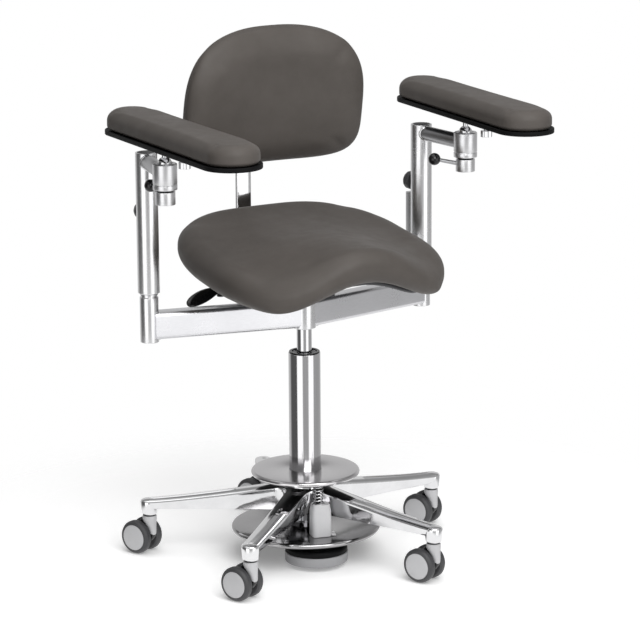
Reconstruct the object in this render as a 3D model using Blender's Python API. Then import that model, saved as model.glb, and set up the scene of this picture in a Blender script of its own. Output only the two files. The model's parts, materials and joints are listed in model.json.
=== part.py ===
# Saddle-seat surgeon chair on a five-star caster base, with two foot discs and two ball-clamped arm pads.
# Metres, +Z up. The chair faces -Y and the sitter's left is +X.
# The origin is on the floor under the chair's middle.
import math

import bmesh
import bpy
from mathutils import Matrix, Vector

for old in list(bpy.data.objects):
    bpy.data.objects.remove(old)

# Clearances
SEAT_GAP = 0.0003    # faces that rest on each other
RUN_GAP = 0.0005     # fits that turn or slide

# Casters
WHEEL_RADIUS = 0.0325
WHEEL_WIDTH = 0.0175
WHEEL_EDGE = 0.0055
HUB_DISC_RADIUS = 0.0245
HUB_DISC_SINK = 0.0008
AXLE_RADIUS = 0.004
AXLE_DEPTH = 0.012
FORK_WIDTH = 0.0145
FORK_SIDE_GAP = 0.0012
CASTER_TRAIL = 0.020
CASTER_HEIGHT = 0.0775    # floor to the top of the neck ring
NECK_RADIUS = 0.0145
NECK_HEIGHT = 0.012
NECK_RING_RADIUS = 0.0115
NECK_RING_HEIGHT = 0.0025
STEM_RADIUS = 0.0055
STEM_LENGTH = 0.020
CASTER_HEADING = math.radians(114.7)

# Star base
ARM_COUNT = 5
STAR_RADIUS = 0.297
STAR_TURN = math.radians(-66.6)
TIP_RADIUS = 0.018
TIP_HEIGHT = 0.031
TIP_ROUND = 0.004
STAR_LIFT = 0.012         # arm underside above the bottom of the tip bosses
HUB_RADIUS = 0.050
HUB_HEIGHT = 0.054
ARM_HUB_HALF_WIDTH = 0.0205
ARM_TIP_HALF_WIDTH = 0.0165
ARM_FLARE = 0.008         # extra half width where an arm meets the hub
ARM_TIP_HEIGHT = 0.0195
ARM_GROOVE = 0.0014

# Column
COLUMN_RADIUS = 0.030
COLUMN_WALL = 0.0035
COLUMN_LENGTH = 0.298
COLUMN_SEAT = 0.006       # tube's lower end above the hub's underside
COLLAR_DEPTH = 0.026
COLLAR_RISE = 0.0025
COLLAR_SLOTS = 6
SLOT_WIDTH = 0.004
SLOT_DEPTH = 0.005
CYLINDER_RADIUS = 0.014
CYLINDER_LENGTH = 0.285
LIFT_OUT = 0.0475         # cylinder shown between column and arm frame

# Foot discs
DISC_SHEET = 0.005
DISC_HEM = 0.0095
UPPER_DISC_RADIUS = 0.1027
UPPER_DISC_RISE = 0.0235  # top of the upper disc above the hub
UPPER_PRESS = 0.008
LOWER_DISC_RADIUS = 0.141
LOWER_DISC_TOP = 0.0595
DISC_COLLAR_WALL = 0.006
DISC_COLLAR_DROP = 0.0125
SLEEVE_SKIRT_RADIUS = 0.040
BRAKE_SLEEVE_RADIUS = 0.029
BRAKE_SLEEVE_WALL = 0.005
BRAKE_SLEEVE_DROP = 0.0165
SKIRT_CLEAR = 0.0025      # skirt above the lower disc

# Foot-brake mechanism
BLOCK_REACH = 0.084       # block centre from the column axis
BLOCK_WIDTH = 0.038
BLOCK_DEPTH = 0.034
BLOCK_HEIGHT = 0.0615
BLOCK_CORNER = 0.010
BLOCK_SIDE = 0.004        # block beside the spring
BLOCK_CHAMFER = 0.003
ROD_RADIUS = 0.004
ROD_DIP = 0.030           # rod's lower end below the block's top
ROD_HEAD_RADIUS = 0.0068
ROD_HEAD_HEIGHT = 0.0025
SPRING_RADIUS = 0.0088
SPRING_WIRE = 0.0011
SPRING_TURNS = 5
POINTS_PER_CURL = 9
SHOE_REACH = 0.070
SHOE_RADIUS = 0.0595
SHOE_HEIGHT = 0.0185
SHOE_PLATE_HEIGHT = 0.0115
SHOE_PLATE_RADIUS = 0.0585
SHOE_REST = 0.0085        # shoe above the floor with the brake off
BRACKET_WIDTH = 0.032
BRACKET_DEPTH = 0.026

# Arm frame
FRAME_BOSS_RADIUS = 0.022
BEAM_HEIGHT = 0.050
BEAM_DEPTH = 0.038
BEAM_CORNER = 0.008
BEAM_LIFT = 0.0028        # beam underside above the boss's underside
BOSS_PROUD = 0.0008
POST_X = 0.2917
POST_Y = 0.060
POST_RADIUS = 0.0172
POST_DROP = 0.0035        # post's foot below the boss's underside
POST_HEIGHT = 0.0855
INNER_RADIUS = 0.0150
INNER_LENGTH = 0.205
CYLINDER_DIP = 0.040      # cylinder's end inside the boss

# Arm sleeves, cross tubes and ball clamps
SLEEVE_RADIUS = 0.0202
SLEEVE_WALL = 0.0022
SLEEVE_LENGTH = 0.2615
SLEEVE_CAP = 0.046        # closed length at the sleeve's top
SLEEVE_ROUND = 0.003
BUSH_SHOW = 0.0035
BUSH_LENGTH = 0.032
BUSH_LIP_RADIUS = 0.0168
ARM_REACH = 0.140
CROSS_RADIUS = 0.014
CROSS_DROP = 0.0163       # cross tube's axis below the sleeve's top
HOUSING_RADIUS = 0.022
HOUSING_RISE = 0.0203     # housing's top above the cross tube's axis
HOUSING_HEIGHT = 0.047
HOUSING_GROOVE = 0.0011
GROOVE_WIDTH = 0.0022
GROOVE_HEIGHT = 0.0085    # groove above the housing's underside
BALL_RADIUS = 0.013
BALL_SINK = 0.0012        # ball centre below the housing's top
SOCKET_GAP = 0.0011       # running room round the ball
STUD_RADIUS = 0.005
STUD_LENGTH = 0.0285      # ball centre to the rail's underside
NUT_RADIUS = 0.018
NUT_HEIGHT = 0.0235
NUT_NECK_RADIUS = 0.010
NUT_NECK = 0.0035
NUT_CHAMFER = 0.0012
LEVER_LENGTH = 0.060
LEVER_RISE = math.radians(12.0)
LEVER_RADIUS = 0.0045
LEVER_BALL_RADIUS = 0.0115
LEVER_GRIP = 0.012        # rod inside the ball
LOCK_KNOB_RADIUS = 0.0175
LOCK_KNOB_DEPTH = 0.0155
LOCK_KNOB_DROP = 0.114    # knob axis below the sleeve's top
KNOB_STEM_RADIUS = 0.006
KNOB_STEM_LENGTH = 0.0025
GUIDE_WIDTH = 0.020
GUIDE_DEPTH = 0.012
GUIDE_LENGTH = 0.105
GUIDE_GAP = 0.004         # below the lock knob

# Arm pads
RAIL_LENGTH = 0.080
RAIL_WIDTH = 0.034
RAIL_THICKNESS = 0.007
LUG_LENGTH = 0.054
LUG_WIDTH = 0.022
SCREW_RADIUS = 0.0045
SCREW_INSET = 0.012       # screw behind the lug's tip
SCREW_HEAD_RADIUS = 0.0108
SCREW_HEAD_HEIGHT = 0.012
SCREW_SHOW = 0.012        # shank between lug and head
PLATE_LENGTH = 0.500
PLATE_WIDTH = 0.106
PLATE_THICKNESS = 0.008
PLATE_CHAMFER = 0.0012
PAD_INSET = 0.004
PAD_THICKNESS = 0.032
PAD_CROWN = 0.003
PAD_TOP_ROLL = 0.014
PAD_LOW_ROLL = 0.006

# Seat
SEAT_HALF_WIDTH = 0.2307
SEAT_FRONT = 0.2306
SEAT_REAR = 0.218
SEAT_CENTRE_Y = -0.0218
SEAT_SQUARE = 2.71        # 2 is an ellipse, more is squarer
SEAT_THICKNESS = 0.060
SEAT_RISE = 0.068         # cushion's underside above the carrier's, at the seat's middle
SEAT_TOP_ROLL = 0.025
SEAT_LOW_ROLL = 0.016
WING_DROP = 0.060
WING_SHARE = 0.78         # half-width share where the wings are lowest
WING_FADE = 1.6           # how fast the wings level out towards the rear
POMMEL_RISE = 0.009
REAR_RISE = 0.027
SIDE_RISE = 0.0055
PAN_INSET = 0.026
PAN_THICKNESS = 0.009

# Seat carrier, pivot and levers
CARRIER_HALF_WIDTH = 0.060
CARRIER_SHEET = 0.004
CARRIER_FRONT = -0.070
CARRIER_REAR = 0.120
CARRIER_HEIGHT = 0.032
PIVOT_Y = 0.015
PIVOT_RISE = 0.0215       # pin axis above the carrier's floor
PIN_RADIUS = 0.005
PIN_PROUD = 0.006
EAR_THICKNESS = 0.010
EAR_RADIUS = 0.0095
LEVER_PIVOT_RISE = 0.017
LEVER_NECK = 0.0045
SEAT_LEVER_Y = 0.098
SEAT_LEVER_REACH = 0.135
SEAT_LEVER_DROP = 0.024
SEAT_PADDLE_HALF_WIDTH = 0.016
SEAT_PADDLE_TILT = math.radians(35.0)
TILT_LEVER_Y = 0.066
TILT_LEVER_REACH = 0.088
TILT_LEVER_DROP = 0.006
TILT_PADDLE_HALF_WIDTH = 0.009
TILT_PADDLE_TILT = math.radians(10.0)

# Back bar and backrest
BAR_WIDTH = 0.030
BAR_THICKNESS = 0.008
BAR_BEND = 0.022
BAR_START = 0.036
BAR_Y = 0.238             # middle of the upright
BAR_TOP = 0.921
SLIDER_HALF_WIDTH = 0.025
SLIDER_WALL = 0.010
SLIDER_HEIGHT = 0.062
HINGE_DROP = 0.057        # hinge axis below the bar's top
HINGE_REACH = 0.030       # hinge axis ahead of the bar's middle
HINGE_RADIUS = 0.006
CLEVIS_WALL = 0.008
CLEVIS_RADIUS = 0.011
BACK_KNOB_RADIUS = 0.019
BACK_KNOB_DEPTH = 0.020
BACK_HALF_WIDTH = 0.1865
BACK_UP = 0.159
BACK_DOWN = 0.1055
BACK_TOP_SQUARE = 2.9
BACK_LOW_SQUARE = 4.1
BACK_MID_Z = 0.851
BACK_FRONT_Y = 0.099
BACK_TILT = math.radians(10.2)    # top leans forward
BACK_THICKNESS = 0.056
BACK_WRAP = 0.028         # sides of the backrest come forward
BACK_CROWN = 0.008
BACK_TOP_ROLL = 0.026
BACK_LOW_ROLL = 0.014
SHELL_INSET = 0.020
SHELL_THICKNESS = 0.007

# Facets
DISC_ROUND = 32
ROUND = 18
SMALL_ROUND = 12
ROD_ROUND = 10
WHEEL_ROUND = 18
CUSHION_ROUND = 32
PAD_ROUND = 24
ARC_STEPS = 3
LEVER_SIDES = 10
EAR_ANGLES = [1.5 * (k / 3 - 1) for k in range(7)]    # nearly half a circle round an ear's tip

# Heights that follow from the sizes above
AXLE_Z = WHEEL_RADIUS * math.cos(math.pi / WHEEL_ROUND)
TIP_BOTTOM = CASTER_HEIGHT + SEAT_GAP
HUB_BOTTOM = TIP_BOTTOM + STAR_LIFT
HUB_TOP = HUB_BOTTOM + HUB_HEIGHT
COLUMN_BOTTOM = HUB_BOTTOM + COLUMN_SEAT
COLUMN_TOP = COLUMN_BOTTOM + COLUMN_LENGTH
COLUMN_BORE = COLUMN_RADIUS - COLUMN_WALL
UPPER_DISC_TOP = HUB_TOP + UPPER_DISC_RISE
BLOCK_BOTTOM = LOWER_DISC_TOP + SEAT_GAP
BLOCK_TOP = BLOCK_BOTTOM + BLOCK_HEIGHT
FRAME_BOTTOM = COLUMN_TOP + LIFT_OUT
BEAM_BOTTOM = FRAME_BOTTOM + BEAM_LIFT
FRAME_TOP = BEAM_BOTTOM + BEAM_HEIGHT + BOSS_PROUD
POST_TOP = FRAME_BOTTOM - POST_DROP + POST_HEIGHT
SLEEVE_BOTTOM = POST_TOP + SEAT_GAP + 2 * BUSH_SHOW
SLEEVE_TOP = SLEEVE_BOTTOM + SLEEVE_LENGTH
CROSS_Z = SLEEVE_TOP - CROSS_DROP
HOUSING_TOP = CROSS_Z + HOUSING_RISE
HOUSING_BOTTOM = HOUSING_TOP - HOUSING_HEIGHT
BALL_Z = HOUSING_TOP - BALL_SINK
RAIL_BOTTOM = BALL_Z + STUD_LENGTH
RAIL_TOP = RAIL_BOTTOM + RAIL_THICKNESS
PLATE_BOTTOM = RAIL_TOP + SEAT_GAP
PLATE_TOP = PLATE_BOTTOM + PLATE_THICKNESS
CARRIER_BOTTOM = FRAME_TOP + SEAT_GAP
CARRIER_FLOOR = CARRIER_BOTTOM + CARRIER_SHEET
PIVOT_Z = CARRIER_FLOOR + PIVOT_RISE
SEAT_BOTTOM = CARRIER_BOTTOM + SEAT_RISE
BAR_BOTTOM = CARRIER_FLOOR + SEAT_GAP
HINGE_Y = BAR_Y - HINGE_REACH
HINGE_Z = BAR_TOP - HINGE_DROP

SIDES = {"right": -1, "left": 1}
COLUMN_Y = 0.0245         # column behind the middle of the whole chair

# How each arm is set: arm turned out, lever, pad turned, pad slid ahead of its clamp
ARM_TURNS = {"right": math.radians(12.4), "left": math.radians(5.0)}
LEVER_TURNS = {"right": math.radians(90.0), "left": math.radians(158.0)}
PAD_TURNS = {"right": math.radians(-1.1), "left": math.radians(-4.0)}
PAD_SLIDES = {"right": 0.070, "left": 0.030}


# Building blocks

def finish(name, colour, roughness, metallic):
    material = bpy.data.materials.new(name)
    material.use_nodes = True
    shader = material.node_tree.nodes["Principled BSDF"]
    shader.inputs["Base Color"].default_value = (*colour, 1)
    shader.inputs["Roughness"].default_value = roughness
    shader.inputs["Metallic"].default_value = metallic
    return material


def as_object(name, shape):
    mesh = bpy.data.meshes.new(name)
    shape.to_mesh(mesh)
    shape.free()
    item = bpy.data.objects.new(name, mesh)
    bpy.context.collection.objects.link(item)
    return item


def as_shape(mesh):
    shape = bmesh.new()
    shape.from_mesh(mesh)
    bpy.data.meshes.remove(mesh)
    return shape


def combined(shape, joined=(), cut=()):
    """The shape with other shapes joined to it and then cut from it."""
    body = as_object("body", shape)
    tools = []
    for operation, others in (("UNION", joined), ("DIFFERENCE", cut)):
        for other in others:
            tool = as_object("tool", other)
            step = body.modifiers.new("combine", "BOOLEAN")
            step.operation = operation
            step.object = tool
            tools.append(tool)
    bpy.context.view_layer.update()
    seen = body.evaluated_get(bpy.context.evaluated_depsgraph_get())
    result = as_shape(bpy.data.meshes.new_from_object(seen))
    for used in [body, *tools]:
        bpy.data.objects.remove(used)
    bmesh.ops.remove_doubles(result, verts=result.verts, dist=1e-6)
    bmesh.ops.dissolve_degenerate(result, edges=result.edges, dist=1e-6)
    return result


def moved(shape, offset=(0, 0, 0), turn=None):
    if turn is not None:
        bmesh.ops.transform(shape, matrix=turn, verts=shape.verts)
    bmesh.ops.translate(shape, vec=offset, verts=shape.verts)
    return shape


def turned(profile, segments=ROUND):
    """Body of revolution about Z: an open profile that ends on the axis, or a closed ring."""
    shape = bmesh.new()
    points = [shape.verts.new((radius, 0, height)) for radius, height in profile]
    pairs = list(zip(points, points[1:]))
    if profile[0][0] > 0:
        pairs.append((points[-1], points[0]))
    edges = [shape.edges.new(pair) for pair in pairs]
    bmesh.ops.spin(
        shape, geom=points + edges, cent=(0, 0, 0), axis=(0, 0, 1),
        angle=math.tau, steps=segments, use_merge=True,
    )
    bmesh.ops.remove_doubles(shape, verts=shape.verts, dist=1e-6)
    bmesh.ops.recalc_face_normals(shape, faces=shape.faces)
    return shape


def skin(rings, tips=()):
    """Closed body through rings of equal point count; its ends are flat, or fan out to two tips."""
    shape = bmesh.new()
    loops = [[shape.verts.new(point) for point in ring] for ring in rings]
    count = len(loops[0])
    for low, high in zip(loops, loops[1:]):
        for k in range(count):
            after = (k + 1) % count
            shape.faces.new((low[k], low[after], high[after], high[k]))
    ends = [shape.faces.new(loop) for loop in (loops[0][::-1], loops[-1])]
    for end, tip in zip(ends, tips):
        bmesh.ops.poke(shape, faces=[end])["verts"][0].co = tip
    bmesh.ops.recalc_face_normals(shape, faces=shape.faces)
    return shape


def prism(outline, low, high, chamfer=0):
    """Upright prism of an outline in plan, with its rims chamfered towards the outline's middle."""
    levels = [(low, 0), (high, 0)]
    if chamfer:
        levels = [(low, chamfer), (low + chamfer, 0), (high - chamfer, 0), (high, chamfer)]
    middle = sum((Vector(point) for point in outline), Vector((0, 0))) / len(outline)
    rings = []
    for height, inset in levels:
        ring = []
        for point in outline:
            out = Vector(point) - middle
            x, y = middle + out * (1 - inset / out.length)
            ring.append((x, y, height))
        rings.append(ring)
    return skin(rings)


def rod(radius, start, end, segments=ROD_ROUND):
    along = Vector(end) - Vector(start)
    shape = turned([(0, along.length), (radius, along.length), (radius, 0), (0, 0)], segments)
    return moved(shape, start, along.to_track_quat("Z", "Y").to_matrix().to_4x4())


def rounded_box(width, depth, corner, centre=(0, 0), steps=ARC_STEPS):
    """Plan outline of a rectangle with round corners."""
    outline = []
    for quarter, (sx, sy) in enumerate(((1, 1), (-1, 1), (-1, -1), (1, -1))):
        for k in range(steps + 1):
            angle = (quarter + k / steps) * math.pi / 2
            x = sx * (width / 2 - corner) + corner * math.cos(angle)
            y = sy * (depth / 2 - corner) + corner * math.sin(angle)
            outline.append((centre[0] + x, centre[1] + y))
    return outline


def squarish(angle, half_width, reach_up, reach_down, square):
    """Point on a superellipse whose two halves have their own reach."""
    c, s = math.cos(angle), math.sin(angle)
    reach = reach_up if s > 0 else reach_down
    power = 2 / square
    return half_width * math.copysign(abs(c) ** power, c), reach * math.copysign(abs(s) ** power, s)


def stadium(angle, length, width):
    """Point on an outline with straight sides along Y and half-round ends."""
    straight = (length - width) / 2
    x, y = width / 2 * math.cos(angle), width / 2 * math.sin(angle)
    return x, y + math.copysign(straight, math.sin(angle))


def around(count):
    return [math.tau * (k + 0.5) / count for k in range(count)]


def roll_rings(thickness, top_roll, low_roll, inner, under):
    """Inset and depth of the rings over a cushion, from its top, round its sides, to its underside."""
    quarter = [k / ARC_STEPS * math.pi / 2 for k in range(ARC_STEPS + 1)]
    rings = [(inset, 0) for inset in inner]
    rings += [(top_roll * (1 - math.sin(a)), top_roll * (1 - math.cos(a))) for a in quarter]
    rings += [(low_roll * (1 - math.cos(a)), thickness - low_roll * (1 - math.sin(a))) for a in quarter]
    rings += [(inset, thickness) for inset in under]
    return rings


def shell_rings(thickness, insets):
    """Rings of an even shell, from the middle of its front to the middle of its back."""
    return [(inset, 0) for inset in reversed(insets)] + [(inset, thickness) for inset in insets]


def pillow(rings, outline, place, count):
    """Cushion through rings: outline gives a plan point, place puts it in space at a depth."""
    loops = [[place(*outline(angle, inset), depth) for angle in around(count)] for inset, depth in rings]
    shape = skin(loops, [place(0, 0, rings[0][1]), place(0, 0, rings[-1][1])])
    bmesh.ops.triangulate(shape, faces=shape.faces, quad_method="SHORT_EDGE")
    return shape


def add(name, shape, material, location=(0, 0, 0), turn=(0, 0, 0), parent=None, smooth=40):
    item = as_object(name, shape)
    item.data.materials.append(material)
    item.data.shade_smooth()
    item.data.set_sharp_from_angle(angle=math.radians(smooth))
    return put(item, location, turn, parent)


def put(item, location, turn=(0, 0, 0), parent=None):
    item.location = location
    item.rotation_euler = turn
    item.parent = parent or CHAIR
    return item


def empty(name, location=(0, 0, 0), turn=0, parent=None):
    item = bpy.data.objects.new(name, None)
    bpy.context.collection.objects.link(item)
    return put(item, location, (0, 0, turn), parent)


CHAIR = bpy.data.objects.new("chair", None)
bpy.context.collection.objects.link(CHAIR)
CHAIR.location = (0, COLUMN_Y, 0)

CHROME = finish("polished_aluminium", (0.80, 0.80, 0.81), 0.12, 1)
STEEL = finish("satin_steel", (0.66, 0.66, 0.67), 0.28, 1)
DISC_STEEL = finish("stainless_sheet", (0.50, 0.49, 0.50), 0.22, 1)
GREY_CAST = finish("grey_cast", (0.55, 0.55, 0.56), 0.45, 0)
BLACK = finish("black_plastic", (0.012, 0.012, 0.013), 0.3, 0)
DARK = finish("dark_plastic", (0.05, 0.05, 0.055), 0.5, 0)
LIGHT = finish("light_grey_plastic", (0.50, 0.50, 0.51), 0.4, 0)
TYRE = finish("grey_tyre", (0.10, 0.10, 0.105), 0.55, 0)
RUBBER = finish("grey_rubber", (0.26, 0.26, 0.265), 0.6, 0)
LEATHER = finish("taupe_leatherette", (0.105, 0.095, 0.086), 0.42, 0)


# Star base and casters

def star_arm():
    """One arm along +X: crowned top with a shallow middle groove, deep at the hub and slim at the tip."""
    rings = []
    inner = HUB_RADIUS - 0.35 * (HUB_RADIUS - COLUMN_RADIUS)
    for share in (0.0, 0.08, 0.2, 0.55, 1.0):
        x = inner + (STAR_RADIUS - inner) * share
        half = ARM_HUB_HALF_WIDTH + (ARM_TIP_HALF_WIDTH - ARM_HUB_HALF_WIDTH) * share
        half += ARM_FLARE * max(0, 1 - share / 0.2) ** 2
        tall = ARM_TIP_HEIGHT + (HUB_HEIGHT * 0.94 - ARM_TIP_HEIGHT) * (1 - share) ** 1.25
        low = HUB_BOTTOM + 0.001
        side = [(0.80, 0), (1.0, 0.40), (0.88, 0.84), (0.14, 1.0)]
        outline = [(half * wide, low + tall * up) for wide, up in side]
        outline.append((0, low + tall - ARM_GROOVE))
        outline += [(-half * wide, low + tall * up) for wide, up in reversed(side)]
        rings.append([(x, y, z) for y, z in outline])
    return skin(rings)


def star_base():
    column_hole = COLUMN_RADIUS + SEAT_GAP
    hub = turned([
        (column_hole, HUB_TOP), (HUB_RADIUS * 0.86, HUB_TOP), (HUB_RADIUS, HUB_TOP - HUB_HEIGHT * 0.14),
        (HUB_RADIUS, HUB_BOTTOM + HUB_HEIGHT * 0.05), (HUB_RADIUS * 0.95, HUB_BOTTOM),
        (column_hole, HUB_BOTTOM),
    ], DISC_ROUND - 6)
    tip_top = TIP_BOTTOM + TIP_HEIGHT
    arms, tips, holes = bmesh.new(), bmesh.new(), bmesh.new()
    for k in range(ARM_COUNT):
        turn = Matrix.Rotation(math.tau * k / ARM_COUNT, 4, "Z")
        tip = turned([
            (0, tip_top), (TIP_RADIUS - TIP_ROUND, tip_top),
            (TIP_RADIUS - TIP_ROUND * 0.3, tip_top - TIP_ROUND * 0.3),
            (TIP_RADIUS, tip_top - TIP_ROUND), (TIP_RADIUS, TIP_BOTTOM), (0, TIP_BOTTOM),
        ], SMALL_ROUND + 2)
        hole_top = TIP_BOTTOM + STEM_LENGTH + SEAT_GAP
        hole = rod(STEM_RADIUS + RUN_GAP, (0, 0, TIP_BOTTOM - STEM_RADIUS), (0, 0, hole_top))
        limb = ((arms, star_arm(), 0), (tips, tip, STAR_RADIUS), (holes, hole, STAR_RADIUS))
        for group, shape, offset in limb:
            mesh = bpy.data.meshes.new("part")
            moved(shape, (offset, 0, 0)).to_mesh(mesh)
            shape.free()
            mesh.transform(turn)
            group.from_mesh(mesh)
            bpy.data.meshes.remove(mesh)
    return combined(hub, joined=[arms, tips], cut=[holes])


def fork():
    """Caster fork with its trail along +X: hood between the wheels, neck, ring, stem and axle."""
    neck_top = CASTER_HEIGHT - NECK_RING_HEIGHT
    axle_z = AXLE_Z
    lead = WHEEL_RADIUS - CASTER_TRAIL + 0.003
    front_low = axle_z + 0.1 * WHEEL_RADIUS
    hood = [
        (-0.8 * NECK_RADIUS, neck_top - 0.1 * NECK_HEIGHT), (-lead, axle_z + 0.85 * WHEEL_RADIUS),
        (-lead, front_low), (-0.6 * lead, axle_z - 0.25 * WHEEL_RADIUS),
        (CASTER_TRAIL, axle_z - 2.2 * AXLE_RADIUS), (CASTER_TRAIL + 2.6 * AXLE_RADIUS, axle_z),
        (CASTER_TRAIL + 2.2 * AXLE_RADIUS, axle_z + 0.7 * WHEEL_RADIUS),
        (0.8 * NECK_RADIUS, neck_top - 0.1 * NECK_HEIGHT),
    ]
    half = FORK_WIDTH / 2
    rounding = 0.22 * FORK_WIDTH
    middle = Vector((sum(x for x, z in hood), sum(z for x, z in hood))) / len(hood)
    rings = []
    for y, inset in ((-half, rounding), (rounding - half, 0), (half - rounding, 0), (half, rounding)):
        ring = []
        for point in hood:
            out = Vector(point) - middle
            x, z = middle + out * (1 - inset / out.length)
            ring.append((x, y, z))
        rings.append(ring)
    stem_top = CASTER_HEIGHT + STEM_LENGTH
    neck = turned([
        (0, stem_top), (STEM_RADIUS, stem_top), (STEM_RADIUS, CASTER_HEIGHT),
        (NECK_RING_RADIUS, CASTER_HEIGHT), (NECK_RING_RADIUS, neck_top), (NECK_RADIUS, neck_top),
        (NECK_RADIUS * 0.97, neck_top - 0.4 * NECK_HEIGHT), (NECK_RADIUS * 0.72, neck_top - NECK_HEIGHT),
        (0, neck_top - NECK_HEIGHT),
    ], SMALL_ROUND)
    reach = half + FORK_SIDE_GAP + AXLE_DEPTH - SEAT_GAP
    axle = rod(AXLE_RADIUS, (CASTER_TRAIL, -reach, axle_z), (CASTER_TRAIL, reach, axle_z), ROD_ROUND)
    return combined(skin(rings), joined=[neck, axle])


def wheel():
    """Wheel about Z with its inner face at zero: tyre, sunk hub disc and blind axle bore."""
    bore = AXLE_RADIUS + RUN_GAP
    disc = WHEEL_WIDTH - HUB_DISC_SINK
    edge = WHEEL_EDGE
    return turned([
        (0, disc), (HUB_DISC_RADIUS, disc), (HUB_DISC_RADIUS + HUB_DISC_SINK, WHEEL_WIDTH),
        (WHEEL_RADIUS - 0.8 * edge, WHEEL_WIDTH), (WHEEL_RADIUS, WHEEL_WIDTH - 0.8 * edge),
        (WHEEL_RADIUS, 0.5 * edge), (WHEEL_RADIUS - 0.5 * edge, 0),
        (bore, 0), (bore, AXLE_DEPTH), (0, AXLE_DEPTH),
    ], WHEEL_ROUND)


def add_casters(star):
    fork_shape, wheel_shape = fork(), wheel()
    side = FORK_WIDTH / 2 + FORK_SIDE_GAP
    for k in range(ARM_COUNT):
        angle = math.tau * k / ARM_COUNT
        foot = (STAR_RADIUS * math.cos(angle), STAR_RADIUS * math.sin(angle), 0)
        caster = empty(f"caster_{k + 1}", foot, CASTER_HEADING - STAR_TURN, star)
        add(f"fork_{k + 1}", fork_shape.copy(), LIGHT, parent=caster)
        for name, sign in (("left", 1), ("right", -1)):
            place = (CASTER_TRAIL, sign * side, AXLE_Z)
            turn = (-sign * math.pi / 2, 0, 0)
            add(f"wheel_{k + 1}_{name}", wheel_shape.copy(), TYRE, place, turn, caster)
    fork_shape.free()
    wheel_shape.free()


# Column

def column_tube():
    return turned([
        (COLUMN_RADIUS, COLUMN_TOP), (COLUMN_RADIUS, COLUMN_BOTTOM), (COLUMN_BORE, COLUMN_BOTTOM),
        (COLUMN_BORE, COLUMN_TOP),
    ], DISC_ROUND - 6)


def column_collar():
    """Guide collar in the top of the tube, with a row of slots across its face."""
    outer, inner = COLUMN_BORE - SEAT_GAP, CYLINDER_RADIUS + RUN_GAP
    top = COLUMN_TOP + COLLAR_RISE
    lip = COLUMN_TOP + SEAT_GAP
    lip_radius = COLUMN_RADIUS - 0.4 * COLUMN_WALL
    ring = turned([
        (lip_radius, top), (lip_radius, lip), (outer, lip), (outer, COLUMN_TOP - COLLAR_DEPTH),
        (inner, COLUMN_TOP - COLLAR_DEPTH), (inner, top - COLLAR_RISE), (inner + COLLAR_RISE, top),
    ])
    slots = []
    for k in range(COLLAR_SLOTS):
        middle = (inner + outer) / 2
        reach = (outer - inner) * 0.28
        outline = [(middle - reach, -SLOT_WIDTH / 2), (middle + reach, -SLOT_WIDTH / 2)]
        outline += [(middle + reach, SLOT_WIDTH / 2), (middle - reach, SLOT_WIDTH / 2)]
        slot = prism(outline, top - SLOT_DEPTH, top + SLOT_DEPTH)
        slots.append(moved(slot, turn=Matrix.Rotation(math.tau * k / COLLAR_SLOTS, 4, "Z")))
    return combined(ring, cut=slots)


def gas_cylinder():
    top = FRAME_BOTTOM + CYLINDER_DIP
    edge = CYLINDER_RADIUS * 0.15
    return turned([
        (0, top), (CYLINDER_RADIUS - edge, top), (CYLINDER_RADIUS, top - edge),
        (CYLINDER_RADIUS, top - CYLINDER_LENGTH + edge), (CYLINDER_RADIUS - edge, top - CYLINDER_LENGTH),
        (0, top - CYLINDER_LENGTH),
    ])


# Foot discs and brake

def foot_disc(radius, bore, top):
    """Pressed sheet disc with a rolled-under rim and a guide collar below its middle."""
    under = top - DISC_SHEET
    collar = bore + DISC_COLLAR_WALL
    hem = DISC_HEM
    return turned([
        (bore, top), (radius - 0.7 * hem, top), (radius - 0.15 * hem, top - 0.2 * hem),
        (radius, top - 0.5 * hem), (radius - 0.2 * hem, top - 0.9 * hem), (radius - 0.55 * hem, top - hem),
        (radius - 0.9 * hem, under), (collar, under),
        (collar, top - DISC_COLLAR_DROP), (bore, top - DISC_COLLAR_DROP),
    ], DISC_ROUND)


def brake_sleeve():
    top = HUB_BOTTOM - SEAT_GAP
    shoulder = LOWER_DISC_TOP + SKIRT_CLEAR
    bore = BRAKE_SLEEVE_RADIUS - BRAKE_SLEEVE_WALL
    low = LOWER_DISC_TOP - BRAKE_SLEEVE_DROP
    step = (top + shoulder) / 2
    return turned([
        (SLEEVE_SKIRT_RADIUS, top), (SLEEVE_SKIRT_RADIUS, step), (SLEEVE_SKIRT_RADIUS * 1.06, step),
        (SLEEVE_SKIRT_RADIUS * 1.06, step - 0.002), (SLEEVE_SKIRT_RADIUS * 0.96, step - 0.002),
        (SLEEVE_SKIRT_RADIUS * 0.96, shoulder), (BRAKE_SLEEVE_RADIUS, shoulder),
        (BRAKE_SLEEVE_RADIUS, low), (bore, low), (bore, top),
    ], ROUND)


def spring_block():
    outline = rounded_box(BLOCK_DEPTH, BLOCK_WIDTH, BLOCK_CORNER, (0, BLOCK_SIDE))
    body = prism(outline, BLOCK_BOTTOM, BLOCK_TOP, BLOCK_CHAMFER)
    depth = ROD_DIP + UPPER_PRESS + RUN_GAP
    bore = rod(ROD_RADIUS + RUN_GAP, (0, 0, BLOCK_TOP - depth), (0, 0, BLOCK_TOP + ROD_RADIUS), ROD_ROUND)
    return combined(body, cut=[bore])


def guide_rod():
    top = UPPER_DISC_TOP - DISC_SHEET - SEAT_GAP
    return turned([
        (0, top), (ROD_HEAD_RADIUS, top), (ROD_HEAD_RADIUS, top - ROD_HEAD_HEIGHT),
        (ROD_RADIUS, top - ROD_HEAD_HEIGHT), (ROD_RADIUS, BLOCK_TOP - ROD_DIP), (0, BLOCK_TOP - ROD_DIP),
    ], ROD_ROUND)


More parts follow.
